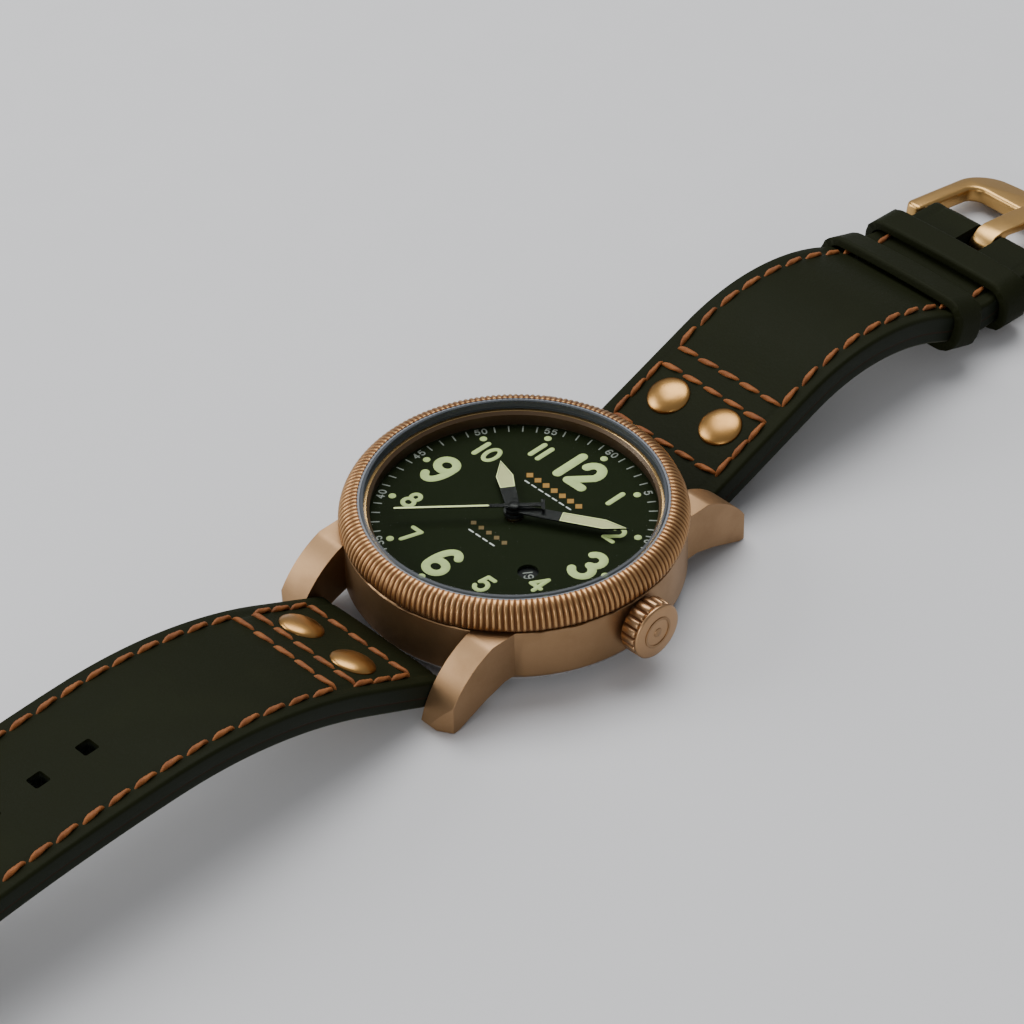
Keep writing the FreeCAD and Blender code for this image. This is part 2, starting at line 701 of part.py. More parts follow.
def spoked(teeth, module, hub, spokes=4, arm_width=0.34):
    """A wheel outline with windows between its spokes."""
    outer = teeth * module / 2 - 1.25 * module - 0.3
    shapes = [toothed(teeth, module), circle(0, 0, hub)]
    inner = hub + 0.55
    axis = Vector(0, 0, 1)
    for spoke in range(spokes):
        start = spoke * TURN / spokes
        stop = start + TURN / spokes
        edge = [math.asin(arm_width / 2 / radius) for radius in (inner, outer)]
        near = Part.ArcOfCircle(Part.Circle(Vector(0, 0, 0), axis, inner), start + edge[0], stop - edge[0])
        far = Part.ArcOfCircle(Part.Circle(Vector(0, 0, 0), axis, outer), start + edge[1], stop - edge[1])
        shapes.append(edges([near, far, Part.LineSegment(near.StartPoint, far.StartPoint),
                             Part.LineSegment(near.EndPoint, far.EndPoint)]))
    return shapes


def build_train():
    """Centre, third, fourth and escape wheels with their pinions."""
    centre = Piece("center_wheel")
    centre.pad(spoked(CENTRE_TEETH, CENTRE_MODULE, 0.38), 4.4, 4.6)
    tube = Piece("center_pinion")
    tube.pad([circle(0, 0, 0.38), circle(0, 0, 0.2)], 4.3, 10.9)
    tube.pad([pinion(CENTRE_LEAVES, BARREL_MODULE), circle(0, 0, 0.2)], 4.8, 5.25)
    third_leaf_turn = mesh_turn(THIRD_WAY, CENTRE_TEETH, 0, THIRD_LEAVES)
    leaves = Piece("third_pinion")
    leaves.pad([pinion(THIRD_LEAVES, CENTRE_MODULE)], 4.2, 4.75)
    leaves.pad([circle(0, 0, S.pivot_radius)], 2.8, 5.9)
    leaves.place(*THIRD_AT, 0, about_z(third_leaf_turn))
    third = Piece("third_wheel")
    third.pad(spoked(THIRD_TEETH, THIRD_MODULE, S.pivot_radius.value), 3.82, 4.02)
    third.place(*THIRD_AT, 0, about_z(0))
    fourth_leaf_turn = mesh_turn(THIRD_WAY + math.pi, THIRD_TEETH, 0, FOURTH_LEAVES)
    sweep = Piece("fourth_pinion")
    sweep.pad([pinion(FOURTH_LEAVES, THIRD_MODULE)], 3.72, 4.12)
    sweep.pad([circle(0, 0, 0.15)], 2.75, 11.6)
    sweep.place(0, 0, 0, about_z(fourth_leaf_turn))
    fourth = Piece("fourth_wheel")
    fourth.pad(spoked(FOURTH_TEETH, FOURTH_MODULE, 0.15), 3.45, 3.65)
    escape_turn = mesh_turn(ESCAPE_WAY, FOURTH_TEETH, 0, ESCAPE_LEAVES)
    escape = Piece("escape_wheel")
    escape.pad([ratchet_outline(15, 1.9, 2.5)], 4.75, 4.95)
    escape.pad([circle(0, 0, S.pivot_radius)], 2.8, 5.9)
    escape.pad([pinion(ESCAPE_LEAVES, FOURTH_MODULE)], 3.4, 3.75)
    escape.place(*ESCAPE_AT, 0, about_z(escape_turn))


def ratchet_outline(teeth, root, tip):
    """Pointed teeth that lean forwards, as on an escape wheel."""
    corners = []
    for tooth in range(teeth):
        for radius, share in ((root, 0.0), (tip, 0.35), (tip, 0.47), (root, 0.55)):
            angle = (tooth + share) * TURN / teeth
            corners.append((radius * math.cos(angle), radius * math.sin(angle)))
    return free_loop(corners)


def build_motion_work():
    """Cannon pinion, minute wheel and hour wheel on the dial side."""
    cannon = Piece("cannon_pinion")
    cannon.pad([pinion(CANNON_LEAVES, MINUTE_MODULE), circle(0, 0, 0.38)], 8.25, 8.5)
    cannon.pad([circle(0, 0, 0.5), circle(0, 0, 0.38)], 8.5, 11.1)
    wheel_turn = mesh_turn(MINUTE_WAY, CANNON_LEAVES, 0, MINUTE_TEETH)
    wheel = Piece("minute_wheel")
    wheel.pad([toothed(MINUTE_TEETH, MINUTE_MODULE), circle(0, 0, 0.23)], 8.26, 8.48)
    wheel.pad([pinion(MINUTE_LEAVES, HOUR_MODULE), circle(0, 0, 0.23)], 8.48, 8.85)
    wheel.place(*MINUTE_AT, 0, about_z(wheel_turn))
    hour_turn = mesh_turn(MINUTE_WAY + math.pi, MINUTE_LEAVES, wheel_turn, HOUR_TEETH)
    hour = Piece("hour_wheel")
    hour.pad([toothed(HOUR_TEETH, HOUR_MODULE), circle(0, 0, 0.55)], 8.6, 8.8)
    hour.pad([circle(0, 0, 0.9), circle(0, 0, 0.55)], 8.8, 10.6)
    hour.place(0, 0, 0, about_z(hour_turn))


def build_escapement():
    """Pallet fork, balance and hairspring."""
    lever_way = math.atan2(BALANCE_AT[1] - PALLET_AT[1], BALANCE_AT[0] - PALLET_AT[0])
    fork = Piece("pallet_fork")
    fork.pad([loop((-0.25, -1.75), (0.0, -1.95), (0.3, -0.4), (2.15, -0.22), (2.15, 0.22), (0.3, 0.4),
                   (0.0, 1.95), (-0.25, 1.75), (-0.1, 0.0))], 4.75, 4.95)
    fork.pad([circle(0.12, 0, S.pivot_radius)], 4.0, 5.9)
    fork.place(PALLET_AT[0], PALLET_AT[1], 0, about_z(lever_way))
    balance = Piece("balance_wheel")
    balance.pad([circle(0, 0, 4.15), circle(0, 0, 3.6)], 3.5, 3.9)
    balance.pad([rectangle(-3.8, -0.22, 3.8, 0.22), circle(0, 0, 0.1)], 3.62, 3.8)
    balance.pad([circle(0, 0, S.pivot_radius)], 2.85, 5.9)
    balance.pad([circle(0, 0, 0.5)], 4.15, 4.5)
    balance.pad([circle(-0.36, 0, 0.1)], 4.5, 4.9)
    balance.place(*BALANCE_AT, 0, about_z(lever_way))
    spring = Piece("hairspring")
    spring.pad([edges(spiral(0.7, 0.26, 12, 0.05))], 3.3, 3.42)
    spring.place(*BALANCE_AT, 0)


def build_rotor():
    """Half-round winding weight with a heavy rim, and its centre bearing."""
    axis = Vector(0, 0, 1)

    def half_ring(inner, outer):
        """Half of a ring below the X axis."""
        far = Part.ArcOfCircle(Part.Circle(Vector(0, 0, 0), axis, outer), math.pi, TURN)
        near = Part.ArcOfCircle(Part.Circle(Vector(0, 0, 0), axis, inner), math.pi, TURN)
        return edges([far, near, Part.LineSegment(far.StartPoint, near.StartPoint),
                      Part.LineSegment(far.EndPoint, near.EndPoint)])

    rotor = Piece("rotor_weight")
    rotor.pad([half_ring(1.9, 12.75)], 1.45, 1.8)
    rotor.pad([half_ring(10.4, 12.75)], 1.8, 2.2)
    rotor.pad([circle(0, 0, 2.4), circle(0, 0, 1.45)], 1.45, 1.8)
    bearing = Piece("rotor_bearing")
    bearing.turn((0, 1.2), (1.9, 1.2), (1.9, 1.4), (1.4, 1.4), (1.4, 2.5), (1.8, 2.5), (1.8, S.bridge_low),
                 (0, S.bridge_low))


def build_date_ring():
    """Toothed ring under the dial that carries the dates."""
    ring = Piece("date_ring")
    inner = ratchet_outline(31, 9.1, 8.75)
    ring.pad([circle(0, 0, 12.1), inner], S.dial_top - 0.85, S.dial_top - 0.5)
    return ring


# ---------------------------------------------------------------- hands

HOUR_CLOCK, MINUTE_CLOCK, SECONDS_CLOCK = 304.5, 61.0, 223.0


def clock(angle):
    """A turn that points +Y at a clock angle, in degrees."""
    return Rotation(Vector(0, 0, 1), -angle)


def blade(base_half, join_half, join, belly_half, belly, reach):
    """Outline of a pointed hand from its hub to its tip."""
    return loop((base_half, 0), (join_half, join), (belly_half, belly), (0, reach),
                (-belly_half, belly), (-join_half, join), (-base_half, 0))


def lume_window(join_half, join, belly_half, belly, reach):
    """Outline of the glowing fill inside a hand."""
    return loop((join_half, join), (belly_half, belly), (0, reach), (-belly_half, belly), (-join_half, join))


def build_pointer(name, clock_angle, low, bore, collet, blade_shape, window):
    """A hand with a collet, a window and its fill."""
    hand = Piece(name + "_hand")
    hand.pad([blade_shape], low, low + S.hand_thick)
    hand.pad([circle(0, 0, collet)], low - 0.06, low + S.hand_thick + 0.08)
    hand.cut([window], low - 1, low + 1)
    hand.cut([circle(0, 0, bore)], low - 1, low + 1)
    hand.place(0, 0, 0, clock(clock_angle))
    lume = Piece(name + "_lume")
    lume.pad([window], low, low + S.hand_thick - 0.03)
    lume.place(0, 0, 0, clock(clock_angle))


def build_hands():
    """Hour, minute and sweep seconds hands."""
    reach = S.hour_hand_reach
    build_pointer("hour", HOUR_CLOCK, S.hour_hand_low, 0.9, 1.3,
                  blade(0.8, 0.98, 4.6, 1.1, reach - 3.2, reach),
                  lume_window(0.8, 4.75, 0.92, reach - 3.25, reach - 0.5))
    reach = S.minute_hand_reach
    build_pointer("minute", MINUTE_CLOCK, S.minute_hand_low, 0.5, 1.0,
                  blade(0.7, 0.85, 5.9, 0.88, reach - 3.07, reach),
                  lume_window(0.68, 6.05, 0.71, reach - 3.12, reach - 0.6))
    seconds = Piece("seconds_hand")
    low = S.seconds_hand_low
    high = low + 0.15
    reach = S.seconds_hand_reach
    seconds.pad([loop((0.28, 0), (0.17, reach), (-0.17, reach), (-0.28, 0), (-0.3, -3.77), (0.3, -3.77))], low, high)
    seconds.pad([rectangle(-0.97, -3.77, 0.97, -3.3)], low, high)
    seconds.pad([circle(0, 0, 0.75)], low - 0.1, high + 0.04)
    seconds.cut([circle(0, 0, 0.15)], low - 1, high + 1)
    seconds.place(0, 0, 0, clock(SECONDS_CLOCK))


# ---------------------------------------------------------------- strap

class Ribbon:
    """The middle line of a strap half in its side view, outwards from its spring bar and up."""

    def __init__(self, heading, straight, bends):
        self.start = Vector(DRIVING_SIZES["bar_reach"], DRIVING_SIZES["bar_height"], 0)
        self.spans = []
        point = self.start
        way = math.radians(heading)
        ahead = Vector(math.cos(way), math.sin(way), 0)
        self.spans.append(("line", point, way, straight, 0))
        point = point + ahead * straight
        for radius, turn in bends:
            angle = math.radians(turn)
            if radius:
                self.spans.append(("arc", point, way, radius * abs(angle), radius * (1 if angle > 0 else -1)))
                side = Vector(-math.sin(way), math.cos(way), 0) * (radius if angle > 0 else -radius)
                centre = point + side
                way += angle
                point = centre - Vector(-math.sin(way), math.cos(way), 0) * (radius if angle > 0 else -radius)
            else:
                self.spans.append(("line", point, way, turn, 0))
                point = point + Vector(math.cos(way), math.sin(way), 0) * turn
        self.end = point
        self.end_way = way

    def at(self, distance):
        """Point and heading at a distance along the ribbon."""
        for span in self.spans:
            if distance <= span[3]:
                break
            distance -= span[3]
        return self.at_span(span, distance)

    def side(self, offset):
        """The run of lines and arcs at an offset above the middle line."""
        curves = []
        for span in self.spans:
            ends = []
            for share in (0, 0.5, 1):
                middle, heading = self.at_span(span, share * span[3])
                ends.append(middle + Vector(-math.sin(heading), math.cos(heading), 0) * offset)
            curves.append(Part.Arc(*ends) if span[0] == "arc" else Part.LineSegment(ends[0], ends[2]))
        return curves

    @staticmethod
    def at_span(span, distance):
        """Point and heading within one span."""
        kind, point, way, length, radius = span
        if kind == "line":
            return point + Vector(math.cos(way), math.sin(way), 0) * distance, way
        centre = point + Vector(-math.sin(way), math.cos(way), 0) * radius
        way += distance / radius
        return centre - Vector(-math.sin(way), math.cos(way), 0) * radius, way

    def outline(self, thick, looped):
        """Closed side view: both faces, a round end at the spring bar and a flat or looped far end."""
        half = thick / 2
        top = self.side(half)
        bottom = self.side(-half)
        near_way = self.spans[0][2] + math.pi
        near = self.start + Vector(math.cos(near_way), math.sin(near_way), 0) * half
        curves = top + bottom + [Part.Arc(top[0].StartPoint, near, bottom[0].StartPoint)]
        if looped:
            far = self.end + Vector(math.cos(self.end_way), math.sin(self.end_way), 0) * half
            curves.append(Part.Arc(top[-1].EndPoint, far, bottom[-1].EndPoint))
        else:
            curves.append(Part.LineSegment(top[-1].EndPoint, bottom[-1].EndPoint))
        return curves


LONG_RIBBON = Ribbon(26, 11.0, [(64.8, -26), (247.7, -18.3)])
SHORT_RIBBON = Ribbon(19.5, 19.5, [(30.0, -19.5), (33.0, -27), (26.0, 24), (0, 11.1)])
HOLE_COUNT = 8
HOLE_STEP = 7.0
FIRST_HOLE = 45.3
HOLE_SIDE = 2.1
RIVET_LONG = 8.8
RIVET_SHORT = 9.1
FREE_KEEPER_AT = 49.2
FIXED_KEEPER_AT = 58.8
KEEPER_CLEARANCE = 0.45


def lift(point, side):
    """A side-view point as a place in the watch; side is 1 at twelve o'clock and -1 at six."""
    return Vector(0, side * point.x, point.y)


def tilt(way, side):
    """Rotation that lays local +X across, +Y along the strap outwards and +Z off its face."""
    if side > 0:
        return Rotation(Vector(1, 0, 0), math.degrees(way))
    return Rotation(Vector(0, 0, 1), 180) * Rotation(Vector(1, 0, 0), math.degrees(way))


def tool_box(name, size, place):
    """A box used as a cutter, centred on its own origin."""
    box = DOC.addObject("Part::Box", name)
    box.Length, box.Width, box.Height = size
    box.Placement = place.multiply(Placement(Vector(-size[0] / 2, -size[1] / 2, -size[2] / 2), Rotation()))
    return box


def tool_cylinder(name, radius, height, place):
    """A round cutter, centred on its own origin."""
    rod = DOC.addObject("Part::Cylinder", name)
    rod.setExpression("Radius", dim(radius).text)
    rod.Height = height
    rod.Placement = place.multiply(Placement(Vector(0, 0, -height / 2), Rotation()))
    return rod


def strap_blank(name, ribbon, thick, side, plan):
    """Padded side view trimmed to a plan outline and bored for its spring bar."""
    blank = Piece(name + "_blank")
    curves = ribbon.outline(thick, side > 0)
    if side < 0:
        curves = mirrored(curves)
    half = S.strap_width / 2
    blank.pad([edges(curves)], -half, half, "YZ_Plane")
    blank.cut([rectangle(-20, -160, 20, 160), plan], -30, 60)
    bar = circle(S.bar_reach * side, S.bar_height, S.strap_hole)
    blank.cut([bar], -20, 20, "YZ_Plane")
    return blank


def cut_strap(name, blank, tools):
    """The finished strap half: the blank less its holes."""
    group = DOC.addObject("Part::Compound", name + "_tools")
    group.Links = tools
    strap = DOC.addObject("Part::Cut", name)
    strap.Base = blank.body
    strap.Tool = group
    strap.Label = name


def rivet_places(ribbon, distance, side):
    """Places of the two rivets on a strap half."""
    point, way = ribbon.at(distance)
    rotation = tilt(way, side)
    spread = DRIVING_SIZES["rivet_spread"]
    return [Placement(lift(point, side) + Vector(x, 0, 0), rotation) for x in (-spread, spread)]


def build_rivets(name, ribbon, distance, side, thick):
    """Two domed rivets with a shank and a back washer."""
    solids = []
    radius = DRIVING_SIZES["rivet_radius"]
    shank_radius = DRIVING_SIZES["rivet_shank"]
    face = thick / 2 + 0.03
    dome_radius = 4.2
    drop = math.sqrt(dome_radius ** 2 - radius ** 2)
    for place in rivet_places(ribbon, distance, side):
        dome = Part.makeSphere(dome_radius, Vector(0, 0, face - drop))
        head = dome.common(Part.makeCylinder(radius, 3, Vector(0, 0, face)))
        shank = Part.makeCylinder(shank_radius, 2 * face, Vector(0, 0, -face))
        washer = Part.makeCylinder(radius * 0.8, 0.4, Vector(0, 0, -face - 0.4))
        rivet = head.fuse([shank, washer])
        rivet.Placement = place
        solids.append(rivet)
    rivets = DOC.addObject("Part::Feature", name)
    rivets.Shape = Part.makeCompound(solids)
    rivets.Label = name


def build_long_strap():
    """Six o'clock half: tapered, pointed, with a row of square buckle holes."""
    thick = DRIVING_SIZES["long_strap_thick"]
    half = DRIVING_SIZES["strap_width"] / 2
    end = LONG_RIBBON.end.x + 2
    plan = free_loop([(-half, -20), (-half, -34), (-10.0, -end + 13), (-7.2, -end + 4.5), (-2.6, -end + 0.8),
                      (2.6, -end + 0.8), (7.2, -end + 4.5), (10.0, -end + 13), (half, -34), (half, -20)])
    blank = strap_blank("strap_6", LONG_RIBBON, thick, -1, plan)
    tools = []
    for number in range(HOLE_COUNT):
        point, way = LONG_RIBBON.at(FIRST_HOLE + number * HOLE_STEP)
        place = Placement(lift(point, -1), tilt(way, -1))
        tools.append(tool_box("buckle_hole_%d" % number, (HOLE_SIDE, HOLE_SIDE, 6), place))
    for number, place in enumerate(rivet_places(LONG_RIBBON, RIVET_LONG, -1)):
        tools.append(tool_cylinder("rivet_hole_long_%d" % number, S.rivet_shank + 0.02, 8, place))
    cut_strap("strap_6", blank, tools)
    build_rivets("rivets_6", LONG_RIBBON, RIVET_LONG, -1, thick)


def build_short_strap():
    """Twelve o'clock half: it ends in a slotted loop round the buckle bar."""
    thick = DRIVING_SIZES["short_strap_thick"]
    half = DRIVING_SIZES["strap_width"] / 2
    end = SHORT_RIBBON.end.x
    neck = 9.9
    slot = 2.2
    plan = free_loop([(-half, 20), (-half, 76), (-neck, 83), (-neck, end + 5), (-slot, end + 5), (-slot, end - 5),
                      (slot, end - 5), (slot, end + 5), (neck, end + 5), (neck, 83), (half, 76), (half, 20)])
    blank = strap_blank("strap_12", SHORT_RIBBON, thick, 1, plan)
    blank.cut([circle(end, SHORT_RIBBON.end.y, 0.96)], -20, 20, "YZ_Plane")
    tools = []
    for number, place in enumerate(rivet_places(SHORT_RIBBON, RIVET_SHORT, 1)):
        tools.append(tool_cylinder("rivet_hole_short_%d" % number, S.rivet_shank + 0.02, 8, place))
    cut_strap("strap_12", blank, tools)
    build_rivets("rivets_12", SHORT_RIBBON, RIVET_SHORT, 1, thick)


def build_keepers():
    """Two leather loops round the short strap half."""
    thick = DRIVING_SIZES["short_strap_thick"]
    for name, distance in (("keeper_free", FREE_KEEPER_AT), ("keeper_fixed", FIXED_KEEPER_AT)):
        point, way = SHORT_RIBBON.at(distance)
        inner_half = S.strap_width / 2 + KEEPER_CLEARANCE
        inner_high = dim(thick / 2 + KEEPER_CLEARANCE)
        outer_half = inner_half + S.keeper_thick * 0.8
        outer_high = inner_high + S.keeper_thick
        keeper = Piece(name)
        keeper.pad([rectangle(-outer_half, -outer_high, outer_half, outer_high),
                    rectangle(-inner_half, -inner_high, inner_half, inner_high)],
                   -S.keeper_length / 2, S.keeper_length / 2)
        keeper.body.Placement = Placement(lift(point, 1), tilt(way, 1) * Rotation(Vector(1, 0, 0), 90))


def build_spring_bars():
    """Two sprung bars with thin tips, as one group."""
    reach = DRIVING_SIZES["bar_reach"]
    height = DRIVING_SIZES["bar_height"]
    radius = DRIVING_SIZES["bar_radius"]
    half = DRIVING_SIZES["lug_gap"] / 2 - 0.25
    tip = 0.42
    solids = []
    for side in (1, -1):
        at = Vector(-half, side * reach, height)
        rod = Part.makeCylinder(radius, 2 * half, at, Vector(1, 0, 0))
        tips = Part.makeCylinder(tip, 2 * half + 2.4, at - Vector(1.2, 0, 0), Vector(1, 0, 0))
        solids.append(rod.fuse(tips))
    bars = DOC.addObject("Part::Feature", "spring_bars")
    bars.Shape = Part.makeCompound(solids)
    bars.Label = "spring_bars"


# ---------------------------------------------------------------- buckle

BUCKLE_DROP = -10.4


def buckle_place():
    """Place of the buckle's own frame: its origin on the bar, leaning on the table."""
    end = SHORT_RIBBON.end
    return Placement(Vector(0, end.x, end.y), Rotation(Vector(1, 0, 0), BUCKLE_DROP))


def rounded_frame(half_width, back, front, bow, corner):
    """A rectangle with a bowed front and round front corners."""
    start = Vector(half_width, back, 0)
    side = Vector(half_width, front - corner, 0)
    turn = Vector(half_width - corner * 0.29, front - corner * 0.29, 0)
    crest = Vector(half_width - corner, front, 0)
    middle = Vector(0, front + bow, 0)
    flip = [Vector(-point.x, point.y, 0) for point in (start, side, turn, crest)]
    return [Part.LineSegment(start, side), Part.Arc(side, turn, crest), Part.Arc(crest, middle, flip[3]),
            Part.Arc(flip[3], flip[2], flip[1]), Part.LineSegment(flip[1], flip[0]),
            Part.LineSegment(flip[0], start)]


def build_buckle():
    """Bowed frame, its bar and the tongue."""
    half = DRIVING_SIZES["buckle_half_width"]
    window = DRIVING_SIZES["buckle_window_half"]
    frame = Piece("buckle_frame")
    frame.pad([edges(rounded_frame(half, -1.8, 14.2, 1.4, 3.6))], -S.buckle_thick / 2, S.buckle_thick / 2)
    frame.cut([edges(rounded_frame(window, -4, 10.2, 0.01, 1.6))], -5, 5)
    frame.cut([circle(0, 0, S.buckle_bar_radius)], -12.4, 12.4, "YZ_Plane")
    frame.body.Placement = buckle_place()
    bar = Piece("buckle_bar")
    bar.pad([circle(0, 0, S.buckle_bar_radius)], -12.4, 12.4, "YZ_Plane")
    bar.body.Placement = buckle_place()
    tongue = Piece("buckle_tongue")
    inner = 0.95
    outer = 1.85
    top = 2.5
    low = 1.28
    tongue.pad([loop((0, -outer), (1.3, -1.3), (outer, 0), (outer + 0.2, low), (15.2, low), (15.5, low + 0.35),
                     (14.9, top - 0.3), (13.4, top), (1.0, top), (-1.0, 1.55), (-outer, 0.4),
                     (-1.5, -1.1)), circle(0, 0, inner)], -1.6, 1.6, "YZ_Plane")
    tongue.body.Placement = buckle_place()


# ---------------------------------------------------------------- build and write

def helpers():
    """Objects that only serve another one."""
    return {obj.Name for obj in DOC.Objects
            if obj.Name.endswith("_blank") or obj.Name.endswith("_tools")
            or obj.Name.startswith(("buckle_hole", "rivet_hole"))}


def sub_parts():
    """Every finished piece of the watch."""
    kinds = ("PartDesign::Body", "Part::Feature", "Part::Cut")
    return [obj for obj in DOC.Objects if obj.TypeId in kinds and obj.Name not in helpers()]


def check_and_write():
    """Stops on a failed object or a bad shape, then writes each piece."""
    for obj in DOC.Objects:
        if "Invalid" in obj.State or "Error" in obj.State:
            raise RuntimeError("%s failed: %s" % (obj.Label, obj.State))
    pieces = sub_parts()
    for piece in pieces:
        if piece.Shape.isNull() or not piece.Shape.isValid() or not piece.Shape.Solids:
            raise RuntimeError("%s has no valid shape" % piece.Label)
    os.makedirs("parts", exist_ok=True)
    for piece in pieces:
        piece.Shape.exportStep("parts/%s.step" % piece.Label)
        print("%-18s %8.3f mm3  %d solid(s)" % (piece.Label, piece.Shape.Volume, len(piece.Shape.Solids)))
    print(len(pieces), "pieces")


def main():
    """Builds the whole watch."""
    fill_sheet()
    for build in (build_mid_case, build_bezel, build_case_rings, build_case_back, build_movement_ring, build_dial,
                  build_crown, build_stem_parts, build_setting_lever, build_mainplate, build_barrel_bridge,
                  build_train_bridge, build_cocks, build_screws, build_jewels, build_barrel, build_winding_wheels,
                  build_train, build_motion_work, build_escapement, build_rotor, build_date_ring, build_hands,
                  build_long_strap, build_short_strap, build_keepers, build_spring_bars, build_buckle):
        build()
    DOC.recompute()
    check_and_write()


main()
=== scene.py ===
"""Bronze field watch laid open on its leather strap: the looks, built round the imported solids.

Lengths are written in millimetres and turned into metres with MM.
"""

import json
import logging
import math
import random
from dataclasses import dataclass, field
from enum import Enum
from typing import Callable, Iterable, Sequence

import bpy
from mathutils import Matrix, Vector

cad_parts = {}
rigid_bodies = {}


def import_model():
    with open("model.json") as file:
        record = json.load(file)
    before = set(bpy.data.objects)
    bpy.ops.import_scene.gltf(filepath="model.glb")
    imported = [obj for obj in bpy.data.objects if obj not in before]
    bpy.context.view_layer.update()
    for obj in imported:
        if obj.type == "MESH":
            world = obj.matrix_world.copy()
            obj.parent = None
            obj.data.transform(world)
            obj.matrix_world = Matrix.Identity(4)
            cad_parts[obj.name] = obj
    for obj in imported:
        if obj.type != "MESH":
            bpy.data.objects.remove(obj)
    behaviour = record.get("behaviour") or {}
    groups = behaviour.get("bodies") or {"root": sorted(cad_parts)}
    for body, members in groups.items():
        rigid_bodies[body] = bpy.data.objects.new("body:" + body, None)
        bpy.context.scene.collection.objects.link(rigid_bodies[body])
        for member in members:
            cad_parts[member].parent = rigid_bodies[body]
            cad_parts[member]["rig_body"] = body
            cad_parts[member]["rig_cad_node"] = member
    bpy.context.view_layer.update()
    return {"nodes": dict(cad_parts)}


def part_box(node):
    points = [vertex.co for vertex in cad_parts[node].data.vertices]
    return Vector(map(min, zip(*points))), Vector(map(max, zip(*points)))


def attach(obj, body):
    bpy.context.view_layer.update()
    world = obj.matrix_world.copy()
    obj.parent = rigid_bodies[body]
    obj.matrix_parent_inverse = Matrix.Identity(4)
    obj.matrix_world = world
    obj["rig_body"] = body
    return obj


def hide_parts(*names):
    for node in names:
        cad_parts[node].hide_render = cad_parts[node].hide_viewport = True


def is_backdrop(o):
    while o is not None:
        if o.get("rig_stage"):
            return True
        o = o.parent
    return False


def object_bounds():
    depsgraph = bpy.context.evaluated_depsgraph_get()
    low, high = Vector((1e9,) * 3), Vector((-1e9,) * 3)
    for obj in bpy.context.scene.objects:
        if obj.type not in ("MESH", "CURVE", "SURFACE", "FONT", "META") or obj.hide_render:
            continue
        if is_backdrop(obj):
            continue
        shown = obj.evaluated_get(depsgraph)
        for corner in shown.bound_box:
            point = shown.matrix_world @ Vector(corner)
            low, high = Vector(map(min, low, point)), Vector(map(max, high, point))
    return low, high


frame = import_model()

MM = 0.001
LOG = logging.getLogger("watch")
Point = tuple[float, float]
Colour = tuple[float, float, float]


# ---------------------------------------------------------------- the work bench

class Pick(Enum):
    """What a selection in edit mode is made of."""

    VERTS = "VERT"
    EDGES = "EDGE"
    FACES = "FACE"


